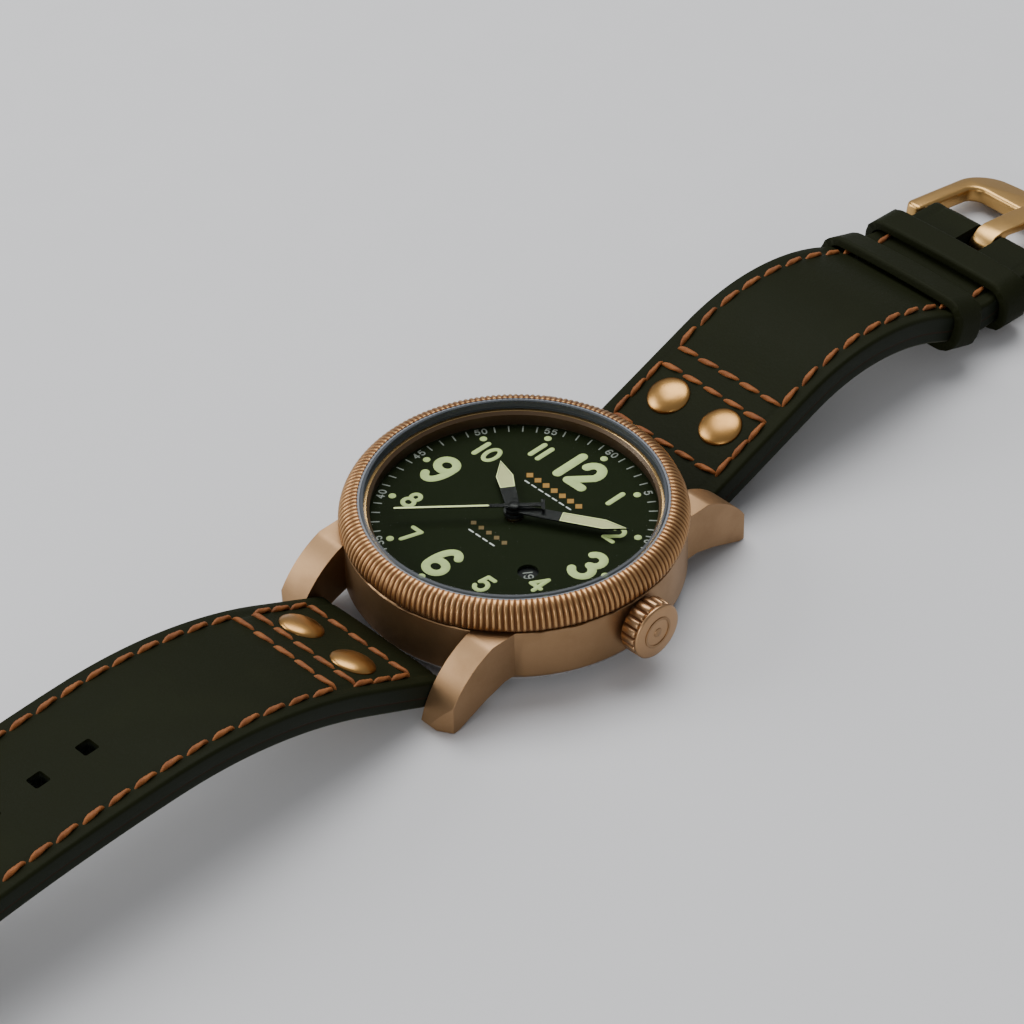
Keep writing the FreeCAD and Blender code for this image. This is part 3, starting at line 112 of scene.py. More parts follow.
class Bench:
    """Hand tools that act on one object at a time."""

    @staticmethod
    def clear() -> None:
        """Leaves edit mode and deselects everything."""
        if bpy.context.object is not None and bpy.context.object.mode != "OBJECT":
            bpy.ops.object.mode_set(mode="OBJECT")
        bpy.ops.object.select_all(action="DESELECT")

    @staticmethod
    def focus(piece: bpy.types.Object) -> None:
        """Selects one object and makes it the active one."""
        Bench.clear()
        piece.select_set(True)
        bpy.context.view_layer.objects.active = piece

    @staticmethod
    def named(name: str) -> bpy.types.Object:
        """Names the object just added and its mesh, and returns it."""
        piece = bpy.context.object
        piece.name = name
        piece.data.name = name
        return piece

    @staticmethod
    def settle(piece: bpy.types.Object) -> bpy.types.Object:
        """Moves an object's place, turn and size into its mesh."""
        Bench.focus(piece)
        bpy.ops.object.transform_apply(location=True, rotation=True, scale=True)
        return piece

    @staticmethod
    def select(piece: bpy.types.Object, what: Pick, test: Callable[..., bool]) -> int:
        """Selects elements of a mesh by a test and enters edit mode.

        Args:
            piece: the mesh object.
            what: vertices, edges or faces.
            test: takes a vertex's point, an edge's two points or a face.

        Returns:
            How many were selected.
        """
        Bench.focus(piece)
        bpy.ops.object.mode_set(mode="EDIT")
        bpy.ops.mesh.select_mode(type=what.value)
        bpy.ops.mesh.select_all(action="DESELECT")
        bpy.ops.object.mode_set(mode="OBJECT")
        mesh = piece.data
        count = 0
        if what is Pick.VERTS:
            for vert in mesh.vertices:
                vert.select = test(vert.co)
                count += vert.select
        elif what is Pick.EDGES:
            for edge in mesh.edges:
                edge.select = test(*(mesh.vertices[i].co for i in edge.vertices))
                count += edge.select
        else:
            for face in mesh.polygons:
                face.select = test(face)
                count += face.select
        bpy.ops.object.mode_set(mode="EDIT")
        return count

    @staticmethod
    def leave() -> None:
        """Back to object mode."""
        bpy.ops.object.mode_set(mode="OBJECT")

    @staticmethod
    def bevel(piece: bpy.types.Object, width: float, segments: int, test: Callable[..., bool]) -> None:
        """Rounds the edges that pass a test."""
        if Bench.select(piece, Pick.EDGES, test):
            bpy.ops.mesh.bevel(offset=width, segments=segments, affect="EDGES")
        Bench.leave()

    @staticmethod
    def soften(piece: bpy.types.Object, width: float, segments: int, degrees: float,
               test: Callable[..., bool]) -> None:
        """Rounds the sharp edges among those that pass a test."""
        Bench.select(piece, Pick.EDGES, lambda a, b: False)
        bpy.ops.mesh.edges_select_sharp(sharpness=math.radians(degrees))
        Bench.leave()
        points = piece.data.vertices
        for edge in piece.data.edges:
            edge.select = edge.select and test(*(points[i].co for i in edge.vertices))
        bpy.ops.object.mode_set(mode="EDIT")
        bpy.ops.mesh.bevel(offset=width, segments=segments, affect="EDGES", clamp_overlap=True)
        Bench.leave()

    @staticmethod
    def from_solid(node: str, name: str) -> bpy.types.Object:
        """A merged copy of a solid, its flat faces joined up again, free to be reworked."""
        piece = Bench.copy(frame["nodes"][node], name)
        piece.parent = None
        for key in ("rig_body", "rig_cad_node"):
            if key in piece:
                del piece[key]
        Bench.merge(piece, 2e-6)
        return Bench.modify(piece, "DECIMATE", decimate_type="DISSOLVE", angle_limit=math.radians(0.6))

    @staticmethod
    def modify(piece: bpy.types.Object, kind: str, **settings: object) -> bpy.types.Object:
        """Adds one modifier and applies it."""
        Bench.focus(piece)
        modifier = piece.modifiers.new(kind.title(), kind)
        for key, value in settings.items():
            setattr(modifier, key, value)
        bpy.ops.object.modifier_apply(modifier=modifier.name)
        return piece

    @staticmethod
    def merge(piece: bpy.types.Object, reach: float = 1e-6) -> bpy.types.Object:
        """Merges doubles and turns every face outwards."""
        Bench.select(piece, Pick.VERTS, lambda co: True)
        bpy.ops.mesh.remove_doubles(threshold=reach)
        bpy.ops.mesh.normals_make_consistent(inside=False)
        Bench.leave()
        return piece

    @staticmethod
    def smooth(piece: bpy.types.Object, degrees: float = 35) -> bpy.types.Object:
        """Smooth shading, with creases kept where faces meet sharply."""
        Bench.focus(piece)
        bpy.ops.object.shade_smooth_by_angle(angle=math.radians(degrees))
        return piece

    @staticmethod
    def copy(piece: bpy.types.Object, name: str) -> bpy.types.Object:
        """A copy with a mesh of its own."""
        twin = piece.copy()
        twin.data = piece.data.copy()
        twin.name = name
        twin.data.name = name
        bpy.context.scene.collection.objects.link(twin)
        return twin

    @staticmethod
    def join(pieces: Sequence[bpy.types.Object], name: str) -> bpy.types.Object:
        """Joins several objects into one."""
        Bench.clear()
        for piece in pieces:
            piece.select_set(True)
        bpy.context.view_layer.objects.active = pieces[0]
        if len(pieces) > 1:
            bpy.ops.object.join()
        return Bench.named(name)

    @staticmethod
    def discard(piece: bpy.types.Object) -> None:
        """Throws a helper object away."""
        bpy.data.objects.remove(piece, do_unlink=True)

    @staticmethod
    def reshape(piece: bpy.types.Object, rule: Callable[[Vector], Vector]) -> bpy.types.Object:
        """Moves every vertex by a rule."""
        for vert in piece.data.vertices:
            vert.co = rule(vert.co)
        piece.data.update()
        return piece

    @staticmethod
    def cut(piece: bpy.types.Object, tools: Sequence[bpy.types.Object]) -> bpy.types.Object:
        """Takes the tools' shapes out of a piece and discards them."""
        for tool in tools:
            Bench.modify(piece, "BOOLEAN", object=tool, operation="DIFFERENCE", solver="EXACT")
            Bench.discard(tool)
        return piece

    @staticmethod
    def block(name: str, low: Sequence[float], high: Sequence[float]) -> bpy.types.Object:
        """A box between two corners, the start of a piece or of a cutter."""
        Bench.clear()
        middle = [(a + b) / 2 for a, b in zip(low, high)]
        size = [b - a for a, b in zip(low, high)]
        bpy.ops.mesh.primitive_cube_add(size=1, location=middle, scale=size)
        return Bench.settle(Bench.named(name))

    @staticmethod
    def section(name: str, corners: Sequence[Sequence[float]]) -> bpy.types.Object:
        """A flat face with the given corners, begun from a round disc.

        Args:
            name: the new object's name.
            corners: the corners in order, each a point in the watch's frame.

        Returns:
            The face as an object.
        """
        Bench.clear()
        bpy.ops.mesh.primitive_circle_add(vertices=len(corners), radius=MM, fill_type="NGON")
        piece = Bench.named(name)
        for vert, corner in zip(piece.data.vertices, corners):
            vert.co = corner
        return piece

    @staticmethod
    def drag(piece: bpy.types.Object, steps: Iterable[Sequence[float]]) -> bpy.types.Object:
        """Extrudes a flat section step after step into a closed bar."""
        Bench.select(piece, Pick.FACES, lambda face: True)
        for step in steps:
            bpy.ops.mesh.extrude_region_move(TRANSFORM_OT_translate={"value": tuple(step)})
        Bench.leave()
        return Bench.merge(piece)


def limits(node: str) -> tuple[Vector, Vector]:
    """A solid's lowest and highest corner, in millimetres."""
    low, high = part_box(node)
    return low / MM, high / MM


def extent(node: str, axis: int = 2, side: int = 1) -> float:
    """How far a solid reaches along one axis.

    Args:
        node: the solid's name.
        axis: 0, 1 or 2 for X, Y or Z.
        side: 1 for its highest point there, 0 for its lowest.

    Returns:
        The place in millimetres, rounded to a tenth of a micrometre.
    """
    return round(limits(node)[side][axis], 4)


def ramp(start: float, end: float, count: int) -> list[float]:
    """Evenly spaced numbers, both ends included."""
    return [start + (end - start) * i / (count - 1) for i in range(count)]


def arc(centre: Point, radii: Point, start: float, stop: float, count: int) -> list[Point]:
    """Points along part of an ellipse, angles in degrees."""
    return [(centre[0] + radii[0] * math.cos(math.radians(turn)), centre[1] + radii[1] * math.sin(math.radians(turn)))
            for turn in ramp(start, stop, count)]


# ---------------------------------------------------------------- shader sheets

class Wire:
    """A shader value that can be reckoned with."""

    def __init__(self, sheet: "Sheet", socket: bpy.types.NodeSocket) -> None:
        """Args:
            sheet: the sheet that the value belongs to.
            socket: the output socket that gives it.
        """
        self.sheet = sheet
        self.socket = socket

    def __add__(self, other: "Wire | float") -> "Wire":
        """Sum."""
        return self.sheet.sum("ADD", self, other)

    __radd__ = __add__

    def __sub__(self, other: "Wire | float") -> "Wire":
        """Difference."""
        return self.sheet.sum("SUBTRACT", self, other)

    def __rsub__(self, other: float) -> "Wire":
        """Number less value."""
        return self.sheet.sum("SUBTRACT", other, self)

    def __mul__(self, other: "Wire | float") -> "Wire":
        """Product."""
        return self.sheet.sum("MULTIPLY", self, other)

    __rmul__ = __mul__

    def __truediv__(self, other: "Wire | float") -> "Wire":
        """Quotient."""
        return self.sheet.sum("DIVIDE", self, other)

    def __gt__(self, other: "Wire | float") -> "Wire":
        """One where the value is greater, otherwise nought."""
        return self.sheet.sum("GREATER_THAN", self, other)


class Sheet:
    """One material's node tree."""

    def __init__(self, name: str) -> None:
        """Args:
            name: the material's name.
        """
        self.material = bpy.data.materials.new(name)
        self.material.use_nodes = True
        self.tree = self.material.node_tree
        self.shader = self.tree.nodes["Principled BSDF"]
        self.output = self.tree.nodes["Material Output"]

    def node(self, kind: str, settings: dict | None = None, result: int | str = 0,
             **values: object) -> Wire:
        """Adds one node.

        Args:
            kind: the node's type.
            settings: its properties, set first; "stops" fills a colour ramp.
            result: which output is returned.
            **values: values or links by socket name, with _ for a space, or _0, _1 by number.

        Returns:
            The chosen output.
        """
        made = self.tree.nodes.new(kind)
        for key, value in (settings or {}).items():
            if key == "stops":
                ends = made.color_ramp.elements
                while len(ends) < len(value):
                    ends.new(0.5)
                for stop, (place, colour) in zip(ends, value):
                    stop.position = place
                    stop.color = (*colour, 1)
            else:
                setattr(made, key, value)
        for key, value in values.items():
            slot = int(key[1:]) if key[1:].isdigit() and key[0] == "_" else key.replace("_", " ")
            self.feed(made.inputs[slot], value)
        return Wire(self, made.outputs[result])

    def feed(self, socket: bpy.types.NodeSocket, value: object) -> None:
        """Links or sets one input."""
        if isinstance(value, Wire):
            self.tree.links.new(value.socket, socket)
        elif isinstance(value, tuple) and len(value) == 3 and len(getattr(socket, "default_value", ())) == 4:
            socket.default_value = (*value, 1)
        else:
            socket.default_value = value

    def sum(self, operation: str, first: object, second: object = 0.0) -> Wire:
        """One Math node."""
        return self.node("ShaderNodeMath", {"operation": operation}, _0=first, _1=second)

    def blend(self, first: object, second: object, factor: object) -> Wire:
        """Mixes two colours."""
        made = self.tree.nodes.new("ShaderNodeMix")
        made.data_type = "RGBA"
        for slot, value in ((0, factor), (6, first), (7, second)):
            self.feed(made.inputs[slot], value)
        return Wire(self, made.outputs[2])

    def place(self) -> Wire:
        """Object coordinates."""
        return self.node("ShaderNodeTexCoord", result="Object")

    def axes(self) -> tuple[Wire, Wire, Wire]:
        """Object coordinates as three numbers, in millimetres."""
        split = self.node("ShaderNodeSeparateXYZ", Vector=self.place()).socket.node
        return tuple(Wire(self, split.outputs[i]) * 1000.0 for i in range(3))

    def stretch(self, scale: Sequence[float]) -> Wire:
        """Object coordinates stretched along each axis."""
        return self.node("ShaderNodeMapping", Vector=self.place(), Scale=tuple(scale))

    def noise(self, size: float, vector: Wire | None = None, detail: float = 3, rough: float = 0.55) -> Wire:
        """Noise whose features are about size millimetres across."""
        return self.node("ShaderNodeTexNoise", Vector=vector or self.place(), Scale=1000 / size, Detail=detail,
                         Roughness=rough)

    def cells(self, size: float, vector: Wire | None = None, feature: str = "F1") -> Wire:
        """Cell pattern whose cells are about size millimetres across."""
        return self.node("ShaderNodeTexVoronoi", {"feature": feature}, Vector=vector or self.place(),
                         Scale=1000 / size)

    def attribute(self, name: str) -> Wire:
        """A number that the mesh carries."""
        return self.node("ShaderNodeAttribute", {"attribute_name": name}, "Fac")

    def smooth(self, value: Wire, low: float, high: float) -> Wire:
        """Nought below low, one above high, smooth between."""
        return self.node("ShaderNodeMapRange", {"interpolation_type": "SMOOTHSTEP"}, Value=value, From_Min=low,
                         From_Max=high)

    def bump(self, height: Wire, depth: float) -> None:
        """Raises the surface by a height value, depth in millimetres."""
        self.feed(self.shader.inputs["Normal"],
                  self.node("ShaderNodeBump", Height=height, Distance=depth * MM))

    def set(self, **values: object) -> None:
        """Sets or links sockets of the main shader, with _ for a space."""
        for key, value in values.items():
            self.feed(self.shader.inputs[key.replace("_", " ")], value)


# ---------------------------------------------------------------- finishes

class Grain(Enum):
    """How a metal was worked."""

    BLASTED = "blasted"
    CIRCULAR = "circular"
    STRAIGHT = "straight"
    STRIPED = "striped"
    POLISHED = "polished"


@dataclass(frozen=True)
class Finish:
    """A named surface finish, made once."""

    name: str

    def paint(self, sheet: Sheet) -> None:
        """Fills the sheet."""
        raise NotImplementedError

    def material(self) -> bpy.types.Material:
        """The finish's material, made on first use."""
        found = bpy.data.materials.get("fin_" + self.name)
        if found is None:
            sheet = Sheet("fin_" + self.name)
            self.paint(sheet)
            found = sheet.material
        return found

    def on(self, piece: bpy.types.Object) -> bpy.types.Object:
        """Gives a piece this finish alone."""
        piece.data.materials.clear()
        piece.data.materials.append(self.material())
        return piece


@dataclass(frozen=True)
class Metal(Finish):
    """A metal with its grain, small colour drift and handling marks."""

    colour: Colour
    shade: Colour
    rough: float
    grain: Grain = Grain.BLASTED
    depth: float = 0.004
    tarnish: float = 0.35

    def paint(self, sheet: Sheet) -> None:
        """Worked metal."""
        drift = sheet.smooth(sheet.noise(5.0, detail=4), 0.35, 0.75)
        spots = sheet.noise(0.5, detail=2)
        x, y, z = sheet.axes()
        if self.grain is Grain.CIRCULAR:
            radius = sheet.sum("SQRT", x * x + y * y)
            lines = sheet.node("ShaderNodeTexNoise", {"noise_dimensions": "1D"}, W=radius, Scale=9.0, Detail=4.0)
        elif self.grain is Grain.STRAIGHT:
            lines = sheet.noise(0.12, sheet.stretch((0.06, 1, 1)))
        elif self.grain is Grain.STRIPED:
            wave = sheet.sum("SINE", (x + y) * 2.4)
            lines = sheet.smooth(wave, -1, 1) + sheet.noise(0.15, sheet.stretch((1, 0.1, 1))) * 0.3
        elif self.grain is Grain.POLISHED:
            lines = sheet.noise(1.5, detail=2)
        else:
            lines = sheet.noise(0.16, detail=4) + spots * 0.5
        sheet.set(Base_Color=sheet.blend(self.colour, self.shade, drift * self.tarnish + (lines - 0.5) * 0.12),
                  Metallic=1.0, Roughness=(lines - 0.5) * 0.12 + drift * 0.06 + self.rough)
        sheet.bump(lines, self.depth)


@dataclass(frozen=True)
class CoinEdge(Metal):
    """Bronze ribs, painted darker and redder in their valleys."""

    valley: Colour = (0.105, 0.036, 0.014)

    def paint(self, sheet: Sheet) -> None:
        """Ribs bright on their crests and dark between."""
        low = sheet.smooth(sheet.attribute("valley"), 0.05, 0.95)
        drift = sheet.noise(3.0, detail=4)
        grain = sheet.noise(0.14, detail=3)
        crest = sheet.blend(self.colour, self.shade, drift * self.tarnish)
        sheet.set(Base_Color=sheet.blend(crest, self.valley, low * (drift * 0.3 + 0.72)), Metallic=1.0,
                  Roughness=(grain - 0.5) * 0.15 + low * 0.25 + self.rough)
        sheet.bump(grain, self.depth)


@dataclass(frozen=True)
class Rehaut(Finish):
    """Sloped ring: wall painted dark as shade, the shade deepening towards the dial, with a painted highlight along
    the lip at its top.
    """

    # The wall colour and the darker one below it are painted shade; the lip colour is a painted highlight.
    wall: Colour
    base: Colour
    lip: Colour
    lip_height: float

    def paint(self, sheet: Sheet) -> None:
        """Painted shade on the wall, deepening towards the dial, and a painted highlight at its lip."""
        height = sheet.axes()[2]
        # A thin band just under the lip height carries the painted highlight.
        lip = sheet.smooth(height, self.lip_height - 0.05, self.lip_height - 0.01)
        grain = sheet.noise(0.3, sheet.stretch((1, 1, 0.2)))
        # Painted shade: the wall colour deepens towards the dial over two millimetres below the lip.
        shade = sheet.blend(self.wall, self.base, sheet.smooth(height, self.lip_height, self.lip_height - 2.0))
        sheet.set(Base_Color=sheet.blend(shade, self.lip, lip), Metallic=lip * 0.7 + 0.3,
                  Roughness=0.45 - lip * 0.22 + (grain - 0.5) * 0.15)
        sheet.bump(grain, 0.003)


@dataclass(frozen=True)
class Coat(Finish):
    """Lacquer, enamel, paint or moulded rubber."""

    colour: Colour
    shade: Colour
    rough: float
    size: float = 0.5
    depth: float = 0.004
    gloss: float = 0.0
    shine: float = 0.4

    def paint(self, sheet: Sheet) -> None:
        """A fine-grained coat."""
        grain = sheet.noise(self.size, detail=4)
        cloud = sheet.noise(self.size * 14, detail=2)
        sheet.set(Base_Color=sheet.blend(self.colour, self.shade, (grain + cloud) * 0.5),
                  Roughness=(grain - 0.5) * 0.16 + self.rough, Coat_Weight=self.gloss,
                  Specular_IOR_Level=self.shine)
        sheet.bump(grain, self.depth)


@dataclass(frozen=True)
class Glow(Finish):
    """Luminous paste: chalky, slightly uneven, never quite flat."""

    colour: Colour
    shade: Colour

    def paint(self, sheet: Sheet) -> None:
        """Paste with a powdery grain and a faint painted glow."""
        grain = sheet.noise(0.12, detail=3)
        cloud = sheet.noise(1.4, detail=2)
        # The small emission is a painted glow that brightens the paste; the paste is no lamp.
        sheet.set(Base_Color=sheet.blend(self.colour, self.shade, sheet.smooth(cloud, 0.3, 0.8) * 0.6 + grain * 0.2),
                  Roughness=(grain - 0.5) * 0.2 + 0.72,
                  Emission_Color=self.colour, Emission_Strength=0.06)
        sheet.bump(grain, 0.012)


@dataclass(frozen=True)
class Sapphire(Finish):
    """Clear crystal with an opaque grey rim, a painted reflection of its side."""

    edge_radius: float
    edge_height: float
    # The edge and wall colours are the painted reflection on the rim.
    edge: Colour
    wall: Colour

    def paint(self, sheet: Sheet) -> None:
        """Clear over the dial, opaque grey on the rim as a painted reflection."""
        x, y, z = sheet.axes()
        radius = sheet.sum("SQRT", x * x + y * y)
        rim = sheet.smooth(radius, self.edge_radius - 0.25, self.edge_radius)
        chamfer = sheet.smooth(z, self.edge_height - 0.08, self.edge_height)
        haze = sheet.noise(6.0, detail=2)
        clear = sheet.node("ShaderNodeBsdfTransparent", Color=(0.97, 0.985, 0.97))
        sheet.set(Base_Color=sheet.blend(self.wall, self.edge, chamfer), Roughness=rim * 0.4 + 0.04,
                  Specular_IOR_Level=0.25)
        body = Wire(sheet, sheet.shader.outputs[0])
        # Near the rim the opaque grey body takes over from the clear shader: the painted reflection.
        mixed = sheet.node("ShaderNodeMixShader", _0=rim * 0.88 + haze * 0.003 + 0.001, _1=clear, _2=body)
        sheet.feed(sheet.output.inputs["Surface"], mixed)


@dataclass(frozen=True)
class Leather(Finish):
    """Waxed leather: dark face, painted edge with a line of lining, fine grain."""

    face: Colour
    worn: Colour
    edge: Colour
    lining: Colour
    layer: Colour
    grain: float = 0.42

    def paint(self, sheet: Sheet) -> None:
        """Face, edge and lining told apart by the mesh's own layer value."""
        layer = sheet.attribute("layer")
        cells = sheet.cells(self.grain)
        fine = sheet.noise(0.2, detail=4)
        cloud = sheet.noise(9.0, detail=4)
        creases = sheet.noise(1.6, sheet.stretch((0.7, 2.2, 1)), detail=4)
        face = sheet.blend(self.face, self.worn, sheet.smooth(cloud, 0.42, 0.8) * 0.55 + (fine - 0.5) * 0.3)
        side = 1.0 - sheet.smooth(layer, 0.62, 0.88)
        under = 1.0 - sheet.smooth(layer, -0.94, -0.8)
        seam = sheet.smooth(layer, -0.30, -0.24) * (1.0 - sheet.smooth(layer, -0.18, -0.12))
        colour = sheet.blend(face, self.edge, side)
        colour = sheet.blend(colour, self.layer, seam * 0.75)
        colour = sheet.blend(colour, self.lining, under)
        sheet.set(Base_Color=colour, Roughness=(fine - 0.5) * 0.22 + (cloud - 0.5) * 0.18 - side * 0.06 + 0.56,
                  Specular_IOR_Level=0.045)
        sheet.bump((cells * 0.7 + fine * 0.8 + creases * 1.2) * (1.0 - side * 0.7) + side * fine * 0.2, 0.025)


@dataclass(frozen=True)
class Thread(Finish):
    """Twisted waxed thread."""

    colour: Colour
    shade: Colour

    def paint(self, sheet: Sheet) -> None:
        """Fibres that darken at random."""
        fibre = sheet.noise(0.10, sheet.stretch((1, 0.4, 1)), detail=3)
        drift = sheet.noise(2.2, detail=3)
        sheet.set(Base_Color=sheet.blend(self.colour, self.shade, sheet.smooth(drift, 0.3, 0.75) * 0.7 + fibre * 0.25),
                  Roughness=(fibre - 0.5) * 0.2 + 0.62, Specular_IOR_Level=0.3)
        sheet.bump(fibre, 0.05)


BRONZE = Metal("satin_bronze", (0.36, 0.222, 0.115), (0.25, 0.148, 0.072), 0.42, Grain.BLASTED, 0.006, 0.4)
COIN = CoinEdge("coin_edge_bronze", (0.50, 0.290, 0.130), (0.36, 0.190, 0.075), 0.36, Grain.BLASTED, 0.004, 0.5)
CROWN_BRONZE = CoinEdge("crown_bronze", (0.44, 0.268, 0.14), (0.32, 0.185, 0.09), 0.34, Grain.BLASTED, 0.005, 0.5)
GILT = Metal("gilt", (0.43, 0.235, 0.075), (0.30, 0.150, 0.042), 0.30, Grain.POLISHED, 0.003, 0.5)
BUCKLE_GILT = Metal("buckle_gilt", (0.52, 0.315, 0.110), (0.38, 0.215, 0.070), 0.30, Grain.BLASTED, 0.0015, 0.4)
STEEL = Metal("brushed_steel", (0.62, 0.62, 0.63), (0.5, 0.5, 0.51), 0.27, Grain.CIRCULAR, 0.003, 0.3)
RIM_STEEL = Metal("plain_steel", (0.6, 0.6, 0.61), (0.46, 0.46, 0.48), 0.22, Grain.STRAIGHT, 0.002, 0.3)
RHODIUM = Metal("striped_rhodium", (0.66, 0.61, 0.52), (0.54, 0.49, 0.41), 0.25, Grain.STRIPED, 0.006, 0.3)
BRASS = Metal("wheel_brass", (0.70, 0.47, 0.17), (0.52, 0.33, 0.11), 0.25, Grain.CIRCULAR, 0.002, 0.3)
BLUED = Metal("blued_steel", (0.05, 0.08, 0.32), (0.10, 0.06, 0.22), 0.2, Grain.POLISHED, 0.001, 0.5)
# Rehaut: the first two colours are painted shade on the bronze, the third a painted highlight on the lip.
REHAUT = Rehaut("rehaut_bronze", (0.085, 0.044, 0.020), (0.045, 0.026, 0.013), (0.72, 0.44, 0.19), 11.85)
# Crystal: the two rim colours are opaque grey, a painted reflection of the crystal's side.
CRYSTAL = Sapphire("sapphire", 18.45, 13.06, (0.045, 0.052, 0.062), (0.075, 0.082, 0.082))
DIAL_GREEN = Coat("dial_green", (0.0090, 0.0128, 0.0044), (0.0110, 0.0152, 0.0054), 0.62, 0.25, 0.003, 0.0, 0.035)
HAND_BLACK = Coat("hand_black", (0.004, 0.004, 0.004), (0.008, 0.008, 0.008), 0.22, 0.4, 0.001, 0.0, 0.18)
DATE_BLACK = Coat("date_black", (0.006, 0.007, 0.007), (0.010, 0.011, 0.011), 0.5, 0.3, 0.002, 0.0, 0.1)
RUBBER = Coat("seal_rubber", (0.016, 0.018, 0.022), (0.03, 0.032, 0.036), 0.55, 0.3, 0.006)
PALE_SEAL = Coat("pale_seal", (0.20, 0.215, 0.24), (0.16, 0.17, 0.19), 0.45, 0.3, 0.003)
NYLON = Coat("holder_nylon", (0.045, 0.045, 0.045), (0.07, 0.07, 0.07), 0.5, 0.5, 0.004)
RUBY = Coat("ruby", (0.45, 0.01, 0.06), (0.58, 0.02, 0.09), 0.06, 0.6, 0.0005, 0.8)
LUME = Glow("lume_numeral", (0.50, 0.61, 0.235), (0.40, 0.50, 0.185))
HAND_LUME = Glow("lume_hand", (0.53, 0.53, 0.255), (0.46, 0.46, 0.21))
LUME_EDGE = Glow("lume_edge", (0.86, 0.93, 0.44), (0.78, 0.85, 0.38))
PRINT_WHITE = Coat("print_white", (0.30, 0.315, 0.29), (0.25, 0.265, 0.24), 0.5, 0.1, 0.002)
PRINT_BRIGHT = Coat("print_bright", (0.68, 0.70, 0.68), (0.6, 0.62, 0.6), 0.5, 0.1, 0.002)
PRINT_GOLD = Coat("print_gold", (0.40, 0.20, 0.035), (0.30, 0.145, 0.022), 0.4, 0.1, 0.003, 0.0, 0.2)
PRINT_DIM = Coat("print_dim_gold", (0.17, 0.11, 0.035), (0.13, 0.08, 0.025), 0.4, 0.1, 0.003, 0.0, 0.2)
LEATHER = Leather("strap_leather", (0.0098, 0.0115, 0.0042), (0.0140, 0.0160, 0.0064), (0.0150, 0.0180, 0.0120),
                  (0.060, 0.062, 0.045), (0.030, 0.018, 0.012))
THREAD = Thread("rust_thread", (0.28, 0.092, 0.020), (0.14, 0.040, 0.009))


# ---------------------------------------------------------------- the strap's middle line

@dataclass
class Ribbon:
    """The middle line of a strap half in side view, outwards from its spring bar and up.

    Lengths are in millimetres and turns in degrees; side is 1 at twelve o'clock and -1 at six.
    """

    side: int
    heading: float
    straight: float
    bends: tuple[tuple[float, float], ...]
    start: Point = (23.6, 2.9)

    def __post_init__(self) -> None:
        """Lays the spans end to end."""
        self.spans: list[tuple[float, float, float, float, float]] = []
        x, z = self.start
        way = math.radians(self.heading)
        for radius, turn in ((0.0, self.straight), *self.bends):
            if radius:
                angle = math.radians(turn)
                bend = math.copysign(radius, angle)
                self.spans.append((bend, x, z, way, radius * abs(angle)))
                x += bend * (math.sin(way + angle) - math.sin(way))
                z -= bend * (math.cos(way + angle) - math.cos(way))
                way += angle
            else:
                self.spans.append((0.0, x, z, way, turn))
                x += turn * math.cos(way)
                z += turn * math.sin(way)
        self.length = sum(span[4] for span in self.spans)

    def at(self, distance: float) -> tuple[float, float, float]:
        """Side-view place and way at a distance along the line.

        Args:
            distance: from the spring bar, in millimetres; the end spans run on past both ends.

        Returns:
            Distance outwards, height and way in radians.
        """
        for bend, x, z, way, length in self.spans:
            if distance <= length:
                break
            distance -= length
        else:
            distance += length
        if bend == 0 or distance < 0:
            return x + distance * math.cos(way), z + distance * math.sin(way), way
        turned = way + distance / bend
        return (x + bend * (math.sin(turned) - math.sin(way)), z - bend * (math.cos(turned) - math.cos(way)), turned)

    def distance_at(self, reach: float) -> float:
        """The distance along the line at which it is a given way out from the dial's middle."""
        low, high = 0.0, self.length
        for _ in range(40):
            middle = (low + high) / 2
            if self.at(middle)[0] < reach:
                low = middle
            else:
                high = middle
        return low

    def wrap(self, flat: Vector) -> Vector:
        """Lays a flat point (across, along, above; metres) on the line."""
        out, height, way = self.at(flat.y / MM)
        above = flat.z / MM
        out -= above * math.sin(way)
        height += above * math.cos(way)
        return Vector((flat.x * self.side, self.side * out * MM, height * MM))

    def rigid(self, distance: float) -> Matrix:
        """Place of a stiff part: local +X across, +Y outwards, +Z off the face."""
        out, height, way = self.at(distance)
        turn = Matrix.Rotation(way, 4, "X")
        if self.side < 0:
            turn = Matrix.Rotation(math.pi, 4, "Z") @ turn
        return Matrix.Translation((0, self.side * out * MM, height * MM)) @ turn


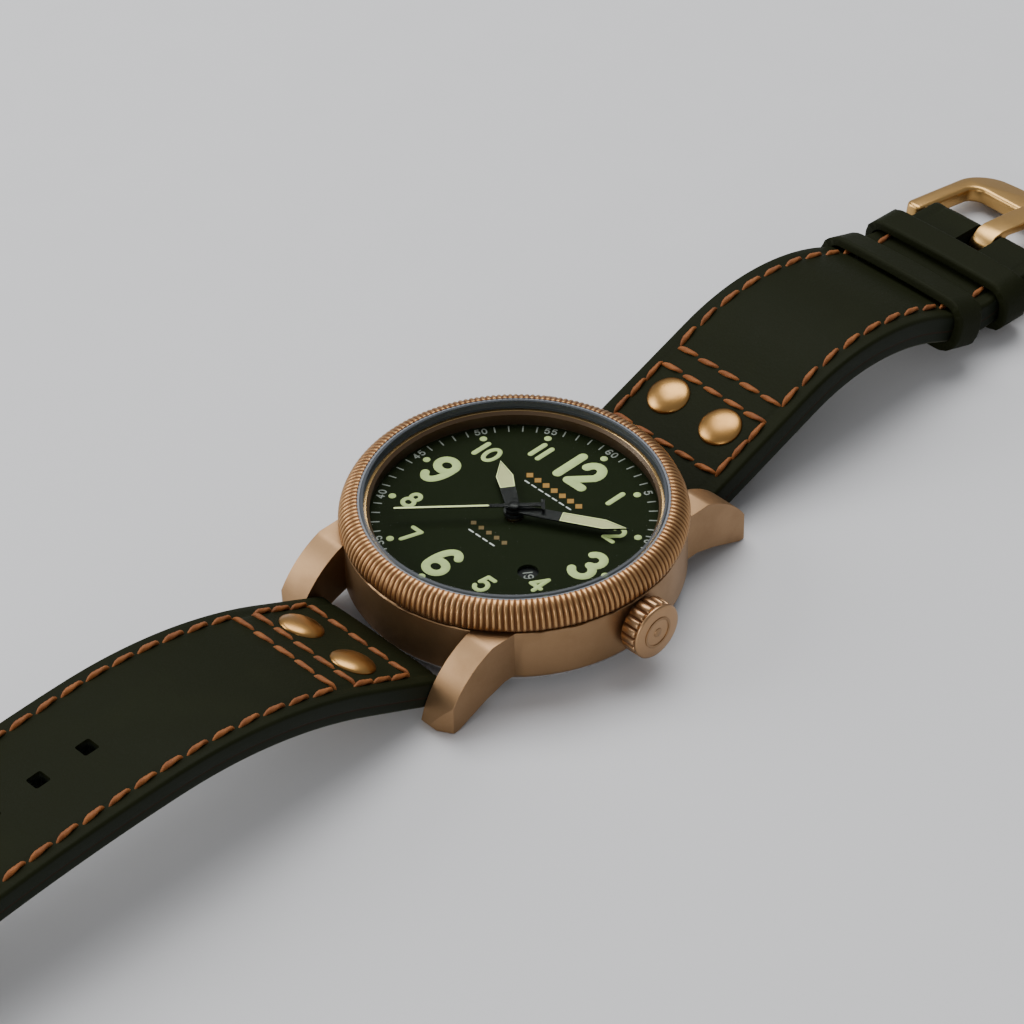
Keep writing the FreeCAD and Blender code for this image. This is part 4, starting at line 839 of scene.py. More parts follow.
@dataclass
class StrapHalf:
    """One leather strap half with its stitching and rivets, modelled flat and laid on its ribbon."""

    name: str
    body: str
    ribbon: Ribbon
    thick: float
    widths: tuple[Point, ...]
    far_end: float
    box: Point
    panel: Point
    rivet_at: float
    half: float = 10.85
    stitch_line: float = 8.9
    stitch_length: float = 3.6
    stitch_gap: float = 0.05
    stitch_radius: float = 0.33
    rivet_side: float = 4.5
    step: float = 1.25

    def half_width(self, distance: float) -> float:
        """Half the strap's width at a distance along it."""
        for (s0, w0), (s1, w1) in zip(self.widths[:-1], self.widths[1:]):
            if distance <= s1:
                share = max(0.0, (distance - s0) / (s1 - s0))
                return w0 + (w1 - w0) * share
        return self.widths[-1][1]

    def profile(self) -> list[tuple[float, float, float]]:
        """Section across the strap: padded face, two stitch furrows, round edges and a flat lining."""
        half, top = self.half, self.thick / 2
        right = [(0, 0.06), (3.0, 0.06), (6.0, 0.03), (8.0, 0.0), (8.45, -0.05), (8.9, -0.20), (9.35, -0.07),
                 (9.9, -0.04)]
        face = [(-x, top + h) for x, h in reversed(right[1:])] + [(x, top + h) for x, h in right]
        over = arc((half - 0.5, top - 0.52), (0.5, 0.5), 80, 0, 5)
        under = arc((half - 0.35, -top + 0.35), (0.35, 0.35), 0, -80, 4)
        rim = over + [(half + 0.01, -top * 0.14), (half - 0.04, -top * 0.20), (half + 0.01, -top * 0.26)] + under
        loop = face + rim + [(5, -top), (0, -top), (-5, -top)] + [(-x, z) for x, z in reversed(rim)]
        return [(x * MM, 0.0, z * MM) for x, z in loop]

    def body_piece(self) -> bpy.types.Object:
        """The leather itself, still flat."""
        radius = self.thick / 2
        start = [radius * -math.cos(math.radians(turn)) for turn in (4, 20, 36, 52, 68, 82)]
        count = int(self.far_end / self.step)
        stations = start + ramp(0, self.far_end, count)
        if self.ribbon.side > 0:
            stations += [self.far_end - value for value in reversed(start)]
        piece = Bench.section(self.name, self.profile())
        Bench.reshape(piece, lambda co: Vector((co.x, stations[0] * MM, co.z)))
        Bench.drag(piece, [(0, (b - a) * MM, 0) for a, b in zip(stations[:-1], stations[1:])])
        return piece

    def shape_ends(self, piece: bpy.types.Object) -> None:
        """Notes each point's layer, then narrows the strap and rounds it where it wraps a bar."""
        radius = self.thick / 2
        values = [vert.co.z / (radius * MM) for vert in piece.data.vertices]
        layer = piece.data.attributes.new("layer", "FLOAT", "POINT")
        layer.data.foreach_set("value", values)

        def rule(co: Vector) -> Vector:
            along = co.y / MM
            over = max(-along, along - self.far_end if self.ribbon.side > 0 else 0.0, 0.0)
            thin = math.sqrt(max(0.02, 1 - (over / radius) ** 2))
            return Vector((co.x * self.half_width(along) / self.half, co.y, co.z * thin))

        Bench.reshape(piece, rule)

    def cutters(self) -> list[bpy.types.Object]:
        """Shapes to take out of the flat strap; a half without holes has none."""
        return []

    def stitch(self) -> bpy.types.Object:
        """One stitch of two-ply thread, humped in the middle, its ends sunk in the leather."""
        Bench.clear()
        bpy.ops.mesh.primitive_cylinder_add(vertices=8, radius=self.stitch_radius * MM,
                                            depth=self.stitch_length * MM, end_fill_type="NGON",
                                            rotation=(math.pi / 2, 0, 0))
        piece = Bench.settle(Bench.named("stitch"))
        Bench.select(piece, Pick.EDGES, lambda a, b: abs(a.y - b.y) > MM)
        bpy.ops.mesh.subdivide(number_cuts=11)
        Bench.leave()

        def rule(co: Vector) -> Vector:
            share = co.y / (self.stitch_length * MM) * 2
            twist = share * 2.2
            slim = math.sqrt(max(0.10, 1 - abs(share) ** 4))
            x, z = co.x * 1.12 * slim, co.z * 0.86 * slim
            turned = Vector((x * math.cos(twist) - z * math.sin(twist), co.y,
                             x * math.sin(twist) + z * math.cos(twist)))
            return turned + Vector((0, 0, (0.17 - 0.5 * share ** 4) * MM))

        Bench.reshape(piece, rule)
        return Bench.smooth(piece, 60)

    def seam(self, start: Point, stop: Point) -> list[tuple[Point, float]]:
        """Places and turns of the stitches on one straight run."""
        run = math.hypot(stop[0] - start[0], stop[1] - start[1])
        count = max(1, round(run / (self.stitch_length + self.stitch_gap)))
        way = math.atan2(stop[1] - start[1], stop[0] - start[0]) - math.pi / 2
        return [((start[0] + (stop[0] - start[0]) * (i + 0.5) / count,
                  start[1] + (stop[1] - start[1]) * (i + 0.5) / count), way) for i in range(count)]

    def seams(self) -> list[tuple[Point, float]]:
        """Every stitch on the strap half: a box round the rivets, then a long panel."""
        reach = self.stitch_line
        low, high = self.box
        near, far = self.panel
        runs = [((-reach, low), (reach, low)), ((-reach, high), (reach, high)), ((-reach, near), (reach, near))]
        for x in (-reach, reach):
            runs.append(((x, low), (x, high)))
            runs.append(((x, near), (x * self.half_width(far) / self.half, far)))
        return [place for run in runs for place in self.seam(*run)]

    def sew(self) -> bpy.types.Object:
        """All the stitches of this half as one piece, each a copy of one stitch."""
        pattern = self.stitch()
        luck = random.Random(self.name)
        face = self.thick / 2 - 0.02
        copies = []
        for number, ((x, along), way) in enumerate(self.seams()):
            twin = Bench.copy(pattern, "%s_stitch_%d" % (self.name, number))
            slant = 0.10 + luck.uniform(-0.05, 0.05)
            place = Matrix.Translation((x * MM, along * MM, face * MM)) @ Matrix.Rotation(way + slant, 4, "Z")
            stretch = Matrix.Diagonal((luck.uniform(0.92, 1.08), luck.uniform(0.96, 1.03), 1, 1))
            twin.data.transform(place @ stretch)
            Bench.reshape(twin, self.ribbon.wrap)
            copies.append(twin)
        Bench.discard(pattern)
        return Bench.merge(Bench.join(copies, self.name + "_stitching"), 1e-7)

    def rivet(self) -> bpy.types.Object:
        """One domed rivet with a turned-under rim and a flat washer at the back."""
        face = self.thick / 2
        line = [(0.0, 0.95), (0.7, 0.93), (1.35, 0.85), (1.95, 0.70), (2.4, 0.52), (2.68, 0.35), (2.82, 0.20),
                (2.86, 0.04), (2.84, -0.1), (0.8, -0.1), (0.8, -2 * face - 0.02), (2.1, -2 * face - 0.02),
                (2.2, -2 * face - 0.12), (2.15, -2 * face - 0.36), (1.9, -2 * face - 0.42), (0.0, -2 * face - 0.42)]
        return Turned("rivet", [(r, z + face) for r, z in line], 48).make()

    def set_rivets(self) -> bpy.types.Object:
        """The pair of rivets, copied from one."""
        pattern = self.rivet()
        pair = []
        for x in (-self.rivet_side, self.rivet_side):
            twin = Bench.copy(pattern, "%s_rivet" % self.name)
            twin.data.transform(self.ribbon.rigid(self.rivet_at + 0.25) @ Matrix.Translation((x * MM, 0, 0)))
            pair.append(twin)
        Bench.discard(pattern)
        return Bench.smooth(Bench.join(pair, self.name.replace("strap", "rivets") + "_domed"), 50)

    def make(self) -> None:
        """Models, lays, dresses and mounts this strap half."""
        leather = self.body_piece()
        Bench.cut(leather, self.cutters())
        self.shape_ends(leather)
        Bench.reshape(leather, self.ribbon.wrap)
        Bench.merge(leather)
        Bench.smooth(leather, 45)
        leather.name = self.name + "_leather"
        LEATHER.on(leather)
        show(leather, self.body, "leather", self.name)
        show(THREAD.on(self.sew()), self.body, "leather")
        rivets = GILT.on(self.set_rivets())
        show(rivets, self.body, "gilt", self.name.replace("strap", "rivets"))


@dataclass
class LongStrap(StrapHalf):
    """The six o'clock half, with its row of square buckle holes."""

    hole_count: int = 8
    hole_first: float = 45.3
    hole_step: float = 7.0
    hole_side: float = 2.1

    def cutters(self) -> list[bpy.types.Object]:
        """One square cutter for each buckle hole, copied from the first."""
        half = self.hole_side / 2 * MM
        pattern = Bench.block("hole", (-half, -half, -5 * MM), (half, half, 5 * MM))
        Bench.bevel(pattern, 0.3 * MM, 3, lambda a, b: abs(a.z - b.z) > MM)
        tools = []
        for number in range(self.hole_count):
            tool = Bench.copy(pattern, "hole_%d" % number)
            tool.data.transform(Matrix.Translation((0, (self.hole_first + number * self.hole_step) * MM, 0)))
            tools.append(tool)
        Bench.discard(pattern)
        return tools


@dataclass
class ShortStrap(StrapHalf):
    """The twelve o'clock half, slotted for the buckle's tongue."""

    slot_half: float = 2.2
    slot_back: float = 5.0

    def cutters(self) -> list[bpy.types.Object]:
        """The slot's cutter."""
        half = self.slot_half * MM
        return [Bench.block("slot", (-half, (self.far_end - self.slot_back) * MM, -5 * MM),
                            (half, (self.far_end + 8) * MM, 5 * MM))]


def show(piece: bpy.types.Object, body: str, slot: str, *nodes: str) -> bpy.types.Object:
    """Mounts a piece on a body and hides the nodes it stands for."""
    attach(piece, body)
    if nodes:
        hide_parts(*nodes)
    LOG.info("%-24s %6d faces on %s", piece.name, len(piece.data.polygons), body)
    return piece


# ---------------------------------------------------------------- turned and ribbed parts

@dataclass
class Turned:
    """A part turned round the Z axis from an open half section."""

    name: str
    line: list[Point]
    steps: int = 96

    def make(self) -> bpy.types.Object:
        """Spins the section through a full turn and closes it."""
        Bench.clear()
        bpy.ops.mesh.primitive_circle_add(vertices=len(self.line), radius=MM, fill_type="NOTHING")
        piece = Bench.named(self.name)
        for vert, (radius, height) in zip(piece.data.vertices, self.line):
            vert.co = (radius * MM, 0, height * MM)
        first, last = (Vector((r * MM, 0, z * MM)) for r, z in (self.line[0], self.line[-1]))
        if self.line[0][0] == 0:
            closing = lambda a, b: {a.to_tuple(7), b.to_tuple(7)} == {first.to_tuple(7), last.to_tuple(7)}
            Bench.select(piece, Pick.EDGES, closing)
            bpy.ops.mesh.delete(type="EDGE")
            Bench.leave()
        Bench.select(piece, Pick.VERTS, lambda co: True)
        bpy.ops.mesh.spin(steps=self.steps, angle=math.tau, center=(0, 0, 0), axis=(0, 0, 1))
        Bench.leave()
        return Bench.smooth(Bench.merge(piece), 40)


@dataclass
class Ribbed:
    """A turned ring whose outside is cut into ribs: one rib is modelled, then copied round."""

    name: str
    line: list[tuple[float, float, float]]
    ribs: int
    depth: float
    columns: tuple[Point, ...]

    def make(self) -> bpy.types.Object:
        """Spins one rib, presses its valleys in and copies it round the axis."""
        pitch = math.tau / self.ribs
        Bench.clear()
        bpy.ops.mesh.primitive_circle_add(vertices=len(self.line), radius=MM, fill_type="NOTHING")
        piece = Bench.named(self.name)
        for vert, (radius, height, _) in zip(piece.data.vertices, self.line):
            vert.co = (radius * MM, 0, height * MM)
        Bench.select(piece, Pick.VERTS, lambda co: True)
        bpy.ops.mesh.spin(steps=len(self.columns) - 1, angle=pitch, center=(0, 0, 0), axis=(0, 0, 1))
        Bench.leave()
        shares = {(round(r, 4), round(z, 4)): share for r, z, share in self.line}
        values = []
        for vert in piece.data.vertices:
            radius = math.hypot(vert.co.x, vert.co.y)
            turn = abs(math.atan2(vert.co.y, vert.co.x))
            place, press = self.columns[round(turn / pitch * (len(self.columns) - 1))]
            share = shares[(round(radius / MM, 4), round(vert.co.z / MM, 4))]
            new = radius - self.depth * MM * press * share
            angle = math.copysign(place * pitch, math.atan2(vert.co.y, vert.co.x))
            vert.co = (new * math.cos(angle), new * math.sin(angle), vert.co.z)
            values.append(press if share > 0 else 0.0)
        piece.data.attributes.new("valley", "FLOAT", "POINT").data.foreach_set("value", values)
        turner = bpy.data.objects.new("turner", None)
        bpy.context.scene.collection.objects.link(turner)
        turner.rotation_euler = (0, 0, pitch)
        bpy.context.view_layer.update()
        Bench.modify(piece, "ARRAY", count=self.ribs, use_relative_offset=False, use_object_offset=True,
                     offset_object=turner, use_merge_vertices=True, merge_threshold=2e-6)
        Bench.discard(turner)
        return Bench.smooth(Bench.merge(piece, 3e-6), 70)


# ---------------------------------------------------------------- case, bezel and crown

@dataclass
class Case:
    """Case, back, bezel, crystal and the ring round the dial."""

    bezel_ribs: int = 180
    bezel_outer: float = 21.5
    bezel_low: float = field(default_factory=lambda: extent("bezel", side=0))
    bezel_high: float = field(default_factory=lambda: extent("bezel"))
    seat: float = 19.12
    neck: float = 19.93
    band: float = 21.2
    rib_depth: float = 0.30
    lug_rounding: float = 0.42

    def bezel(self) -> None:
        """Domed bezel with a coin edge over its whole outside."""
        crest = (self.seat + 0.06, self.bezel_high)
        skirt = (self.bezel_outer, self.bezel_low + 0.35)
        outside = []
        for turn in (90, 87, 82, 76, 69, 61, 53, 45, 37, 29, 21, 14, 7, 0):
            swell = math.radians(turn)
            radius = crest[0] + (skirt[0] - crest[0]) * math.cos(swell)
            height = skirt[1] + (crest[1] - skirt[1]) * math.sin(swell)
            outside.append((radius, height, min(1.0, 0.5 + (90 - turn) / 5)))
        inside = [(21.32, self.bezel_low, 0.3), (self.neck, self.bezel_low, 0), (self.neck, 11.15, 0), (18.45, 11.15, 0),
                  (18.45, 11.8, 0), (self.seat, 11.8, 0), (self.seat, 12.94, 0)]
        columns = ((0.0, 1.0), (0.12, 0.88), (0.27, 0.36), (0.5, 0.0), (0.73, 0.36), (0.88, 0.88), (1.0, 1.0))
        ring = Ribbed("bezel_coin_edge", outside + inside, self.bezel_ribs, self.rib_depth, columns).make()
        show(COIN.on(ring), "case", "bronze", "bezel")

    def crystal(self) -> None:
        """Flat crystal with a chamfer and a rim painted grey as a painted reflection, a hair clear of its gasket."""
        low, high = limits("crystal")
        radius, bottom, top = high.x - 0.02, low.z + 0.01, high.z
        disc = Turned("crystal_ground", [(0.0, top), (radius - 0.16, top), (radius - 0.12, top - 0.01),
                                         (radius - 0.02, top - 0.1), (radius, top - 0.14), (radius, bottom + 0.04),
                                         (radius - 0.04, bottom), (0.0, bottom)], 180).make()
        show(CRYSTAL.on(disc), "case", "sapphire", "crystal")

    def on_lug(self, a: Vector, b: Vector) -> bool:
        """Whether an edge belongs to the free part of a lug."""
        return all(math.hypot(co.x, co.y) > (self.band + 0.1) * MM for co in (a, b))

    def body(self) -> None:
        """Mid-case with the lugs' sharp edges well rounded, as a tumbled casting has them."""
        piece = Bench.from_solid("mid_case", "mid_case_soft")
        Bench.soften(piece, self.lug_rounding * MM, 4, 24, self.on_lug)
        Bench.smooth(piece, 40)
        Bench.modify(piece, "WEIGHTED_NORMAL", mode="FACE_AREA", weight=50, keep_sharp=True)
        show(BRONZE.on(piece), "case", "bronze", "mid_case")

    def make(self) -> None:
        """Builds the pieces and dresses the solids that stay."""
        self.bezel()
        self.body()
        self.crystal()
        dress(STEEL, "case_back")
        dress(RIM_STEEL, "crown_tube", "spring_bars")
        dress(PALE_SEAL, "crystal_gasket")
        dress(RUBBER, "case_back_gasket", "crown_gasket")
        dress(REHAUT, "rehaut_ring")


@dataclass
class Crown:
    """Fluted push-pull crown with a plain cap and a raised ring on its face."""

    radius: float = 3.65
    inner: float = field(default_factory=lambda: extent("crown", axis=0, side=0))
    outer: float = field(default_factory=lambda: extent("crown", axis=0))
    flutes: int = 18
    flute_depth: float = 0.36

    def knob(self) -> bpy.types.Object:
        """The fluted knob, turned up along Z and laid along X."""
        length = self.outer - self.inner
        line = [(2.0, 0.0, 0), (self.radius - 0.5, 0.0, 0.0), (self.radius - 0.15, 0.18, 0.7), (self.radius, 0.45, 1),
                (self.radius, 1.2, 1), (self.radius, length - 0.86, 1), (self.radius - 0.10, length - 0.72, 0.8),
                (self.radius - 0.30, length - 0.64, 0.1), (self.radius - 0.24, length - 0.52, 0),
                (self.radius - 0.04, length - 0.46, 0), (self.radius, length - 0.36, 0),
                (self.radius - 0.02, length - 0.22, 0), (self.radius - 0.12, length - 0.10, 0),
                (self.radius - 0.34, length - 0.04, 0), (2.0, length, 0), (0.02, length, 0), (0.02, 1.9, 0),
                (2.0, 1.901, 0)]
        columns = ((0.0, 1.0), (0.08, 0.9), (0.16, 0.35), (0.26, 0.04), (0.5, 0.0), (0.74, 0.04), (0.84, 0.35),
                   (0.92, 0.9), (1.0, 1.0))
        return Ribbed("crown_fluted", line, self.flutes, self.flute_depth, columns).make()

    def emblem(self) -> bpy.types.Object:
        """A plain raised ring and boss, the crown's only mark."""
        top = self.outer - self.inner
        ring = Turned("crown_ring", [(1.75, top - 0.1), (1.75, top + 0.07), (1.82, top + 0.11), (2.05, top + 0.11),
                                     (2.12, top + 0.07), (2.12, top - 0.1)], 64).make()
        boss = Turned("crown_boss", [(0.0, top + 0.13), (0.4, top + 0.12), (0.6, top + 0.06), (0.66, top - 0.05),
                                     (0.0, top - 0.05)], 40).make()
        return Bench.smooth(Bench.join([ring, boss], "crown_emblem"), 40)

    def make(self) -> None:
        """Builds both parts and lays them on the stem's axis."""
        height = extent("crown", side=0) + self.radius
        place = Matrix.Translation((self.inner * MM, 0, height * MM)) @ Matrix.Rotation(math.pi / 2, 4, "Y")
        for piece, nodes in ((self.knob(), ("crown",)), (self.emblem(), ())):
            piece.data.transform(place)
            finish = CROWN_BRONZE if nodes else BRONZE
            show(finish.on(piece), "crown_and_stem", "bronze", *nodes)
        dress(RIM_STEEL, "winding_stem")


def dress(finish: Finish, *nodes: str) -> None:
    """Gives solids that stay a finish."""
    for name in nodes:
        finish.on(frame["nodes"][name])


# ---------------------------------------------------------------- dial and its print

class Brush:
    """Round-ended strokes, the way numerals are painted."""

    @staticmethod
    def stroke(name: str, points: Sequence[Point], pen: float, closed: bool, rise: float) -> bpy.types.Object:
        """One flattened round-ended stroke.

        Args:
            name: the object's name.
            points: its middle line in millimetres.
            pen: the stroke's width.
            closed: whether it is a loop.
            rise: how far the stroke stands proud of the dial.

        Returns:
            The stroke as a mesh that lies on z = 0.
        """
        half = pen / 2
        knots = [(Vector((x, y, 0)), 1.0) for x, y in points]
        if not closed:
            first = (knots[0][0] - knots[1][0]).normalized()
            last = (knots[-1][0] - knots[-2][0]).normalized()
            head = [(knots[0][0] + first * half * math.sin(math.radians(a)), math.cos(math.radians(a)))
                    for a in (88, 70, 50, 25)]
            tail = [(knots[-1][0] + last * half * math.sin(math.radians(a)), math.cos(math.radians(a)))
                    for a in (25, 50, 70, 88)]
            knots = head + knots + tail
        curve = bpy.data.curves.new(name, "CURVE")
        curve.dimensions = "3D"
        curve.bevel_depth = half * MM
        curve.bevel_resolution = 2
        curve.use_fill_caps = not closed
        line = curve.splines.new("POLY")
        line.points.add(len(knots) - 1)
        for spot, (co, width) in zip(line.points, knots):
            spot.co = (co.x * MM, co.y * MM, 0, 1)
            spot.radius = width
        line.use_cyclic_u = closed
        drawn = bpy.data.objects.new(name, curve)
        bpy.context.scene.collection.objects.link(drawn)
        mesh = bpy.data.meshes.new_from_object(drawn)
        Bench.discard(drawn)
        piece = bpy.data.objects.new(name, mesh)
        bpy.context.scene.collection.objects.link(piece)
        return Bench.reshape(piece, lambda co: Vector((co.x, co.y, co.z / half * rise)))

    LOOP = arc((0, 0), (0.5, 0.5), 0, 345, 24)
    BOWL = arc((0, -0.25), (0.5, 0.25), 0, 345, 24)
    SIX = ((BOWL, True), (arc((0.06, -0.16), (0.56, 0.66), 180, 52, 14), False))
    SHAPES = {
        "0": ((LOOP, True),),
        "1": (([(0, 0.5), (0, -0.5)], False),),
        "2": ((arc((0, 0.19), (0.5, 0.31), 168, -28, 13) + [(-0.5, -0.5)], False),
              ([(-0.5, -0.5), (0.5, -0.5)], False)),
        "3": ((arc((-0.03, 0.265), (0.43, 0.235), 150, -80, 13), False),
              (arc((-0.02, -0.235), (0.52, 0.265), 85, -150, 15), False)),
        "4": (([(0.2, 0.5), (0.2, -0.5)], False), ([(0.2, 0.5), (-0.5, -0.2)], False),
              ([(-0.5, -0.2), (0.5, -0.2)], False)),
        "5": (([(0.38, 0.5), (-0.3, 0.5)], False), ([(-0.3, 0.5), (-0.42, 0.02)], False),
              (arc((0, -0.17), (0.5, 0.33), 146, -152, 15), False)),
        "6": SIX,
        "7": (([(-0.5, 0.5), (0.5, 0.5)], False), ([(0.5, 0.5), (-0.12, -0.5)], False)),
        "8": ((arc((0, 0.26), (0.4, 0.24), 0, 345, 20), True), (arc((0, -0.23), (0.5, 0.27), 0, 345, 22), True)),
        "9": tuple(([(-x, -y) for x, y in points], closed) for points, closed in SIX),
    }

    @staticmethod
    def figure(name: str, digit: str, centre: Point, size: Point, pen: float, rise: float,
               turn: float = 0.0) -> list[bpy.types.Object]:
        """One digit.

        Args:
            name: stem of the strokes' names.
            digit: which digit.
            centre: the middle of the digit.
            size: its width and height over the strokes.
            pen: the stroke's width.
            rise: how far it stands proud.
            turn: the digit's turn about its middle, in degrees.

        Returns:
            Its strokes.
        """
        wide, high = max(size[0] - pen, 0.0), size[1] - pen
        cos, sin = math.cos(math.radians(turn)), math.sin(math.radians(turn))
        strokes = []
        for number, (points, closed) in enumerate(Brush.SHAPES[digit]):
            laid = [(x * wide, y * high) for x, y in points]
            laid = [(centre[0] + x * cos - y * sin, centre[1] + x * sin + y * cos) for x, y in laid]
            strokes.append(Brush.stroke("%s_%s_%d" % (name, digit, number), laid, pen, closed, rise))
        return strokes


@dataclass
class Dial:
    """Dial plate and everything painted on it."""

    top: float = field(default_factory=lambda: extent("dial"))
    dot_ring: float = 15.55
    tick_inner: float = 16.4
    tick_outer: float = 17.55
    figure_ring: float = 16.95
    figure_pitch: float = 0.92
    date_drop: float = 0.5
    big: tuple[tuple[str, Point, Point], ...] = (
        ("1", (-2.13, 11.76), (1.3, 5.7)), ("2", (0.83, 11.76), (3.6, 5.7)), ("3", (12.87, -0.13), (3.6, 5.7)),
        ("6", (-0.08, -11.97), (3.65, 5.7)), ("9", (-12.9, -0.16), (3.6, 5.7)))
    small: tuple[tuple[str, Point, Point], ...] = (
        ("1", (6.42, 11.05), (0.8, 3.2)), ("2", (11.1, 6.29), (2.1, 3.15)), ("4", (11.03, -6.65), (2.2, 3.15)),
        ("5", (6.34, -11.3), (2.15, 3.15)), ("7", (-6.6, -11.3), (2.0, 3.15)), ("8", (-11.2, -6.6), (2.05, 3.15)),
        ("1", (-12.3, 6.29), (0.8, 3.2)), ("0", (-10.45, 6.29), (2.1, 3.15)), ("1", (-7.15, 11.05), (0.8, 3.2)),
        ("1", (-5.9, 11.05), (0.8, 3.2)))

    def lay(self, pieces: Sequence[bpy.types.Object], name: str, finish: Finish, slot: str, height: float,
            body: str = "case") -> None:
        """Joins painted strokes, lifts them to their height and dresses them."""
        joined = Bench.join(list(pieces), name)
        joined.data.transform(Matrix.Translation((0, 0, height * MM)))
        Bench.merge(joined, 1e-7)
        Bench.smooth(joined, 50)
        show(finish.on(joined), body, slot)

    def hours(self) -> None:
        """Luminous hour numerals and the dots outside them."""
        strokes = []
        for digit, centre, size in self.big:
            pen = 1.28 if digit in "12" else 1.12
            strokes += Brush.figure("big", digit, centre, size, pen, 0.11)
        for digit, centre, size in self.small:
            pen = 0.72 if digit == "1" else 0.6
            strokes += Brush.figure("small", digit, centre, size, pen, 0.09)
        self.lay(strokes, "hour_numerals", LUME, "lume", self.top)
        pattern = Turned("dot", [(0.0, 0.11), (0.2, 0.10), (0.36, 0.065), (0.475, 0.0), (0.475, -0.02), (0.0, -0.02)],
                         24).make()
        dots = []
        for hour in range(12):
            twin = Bench.copy(pattern, "dot_%d" % hour)
            turn = math.radians(30 * hour)
            twin.data.transform(Matrix.Translation((self.dot_ring * math.sin(turn) * MM,
                                                    self.dot_ring * math.cos(turn) * MM, 0)))
            dots.append(twin)
        Bench.discard(pattern)
        self.lay(dots, "hour_dots", LUME, "lume", self.top)

    def minutes(self) -> None:
        """Minute track: thin ticks, with a number at every fifth minute."""
        marks = []
        for minute in range(60):
            turn = math.radians(6 * minute)
            out = Vector((math.sin(turn), math.cos(turn)))
            if minute % 5:
                ends = [tuple(out * radius) for radius in (self.tick_inner + 0.1, self.tick_outer - 0.1)]
                marks.append(Brush.stroke("tick_%d" % minute, ends, 0.18, False, 0.025))
                continue
            figures = str(minute or 60)
            ring = self.figure_ring
            for place, digit in enumerate(figures):
                shift = (place - (len(figures) - 1) / 2) * self.figure_pitch
                side = Vector((out.y, -out.x)) * shift
                spot = out * ring + side
                width = 0.18 if digit == "1" else 0.74
                marks += Brush.figure("minute", digit, tuple(spot), (width, 1.12), 0.18, 0.025, -6 * minute)
        self.lay(marks, "minute_track", PRINT_WHITE, "dial_green", self.top)

    def ornament(self) -> None:
        """Rows of lozenges and a hairline above and below the centre, in place of wording."""
        for name, finish, height, count, pitch, size, line, reach in (
                ("upper", PRINT_GOLD, 6.85, 7, 1.42, 0.58, 5.72, 3.6),
                ("lower", PRINT_DIM, -4.3, 5, 1.34, 0.46, -5.55, 1.8)):
            gems = []
            for number in range(count):
                x = (number - (count - 1) / 2) * pitch
                corners = [(x + size, height), (x, height + size), (x - size, height), (x, height - size)]
                gem = Bench.section("gem_%d" % number, [(a * MM, b * MM, -0.02 * MM) for a, b in corners])
                Bench.select(gem, Pick.FACES, lambda face: True)
                bpy.ops.mesh.extrude_region_move(TRANSFORM_OT_translate={"value": (0, 0, 0.05 * MM)})
                bpy.ops.mesh.inset(thickness=0.12 * MM)
                Bench.leave()
                gems.append(Bench.merge(gem))
            self.lay(gems, name + "_lozenges", finish, "dial_green", self.top)
            dashes = [Brush.stroke("dash", [(x - 0.35, line), (x + 0.35, line)], 0.2, False, 0.025)
                      for x in ramp(-reach, reach, 7 if reach > 2 else 4)]
            self.lay(dashes, name + "_dashes", PRINT_BRIGHT, "dial_green", self.top)

    def date(self) -> None:
        """The date that shows in the window; it rides on the date ring."""
        strokes = []
        centre, turn = Vector((8.5, -6.0)), -35.2
        across = Vector((math.cos(math.radians(turn)), math.sin(math.radians(turn))))
        for shift, digit, width in ((-0.38, "1", 0.17), (0.42, "9", 0.85)):
            spot = centre + across * shift
            strokes += Brush.figure("date", digit, tuple(spot), (width, 1.25), 0.17, 0.02, turn)
        self.lay(strokes, "date_figures", PRINT_WHITE, "date_black", self.top - self.date_drop, "dates")

    def make(self) -> None:
        """Dresses the plate and paints it."""
        dress(DIAL_GREEN, "dial")
        dress(DATE_BLACK, "date_ring")
        self.hours()
        self.minutes()
        self.ornament()
        self.date()


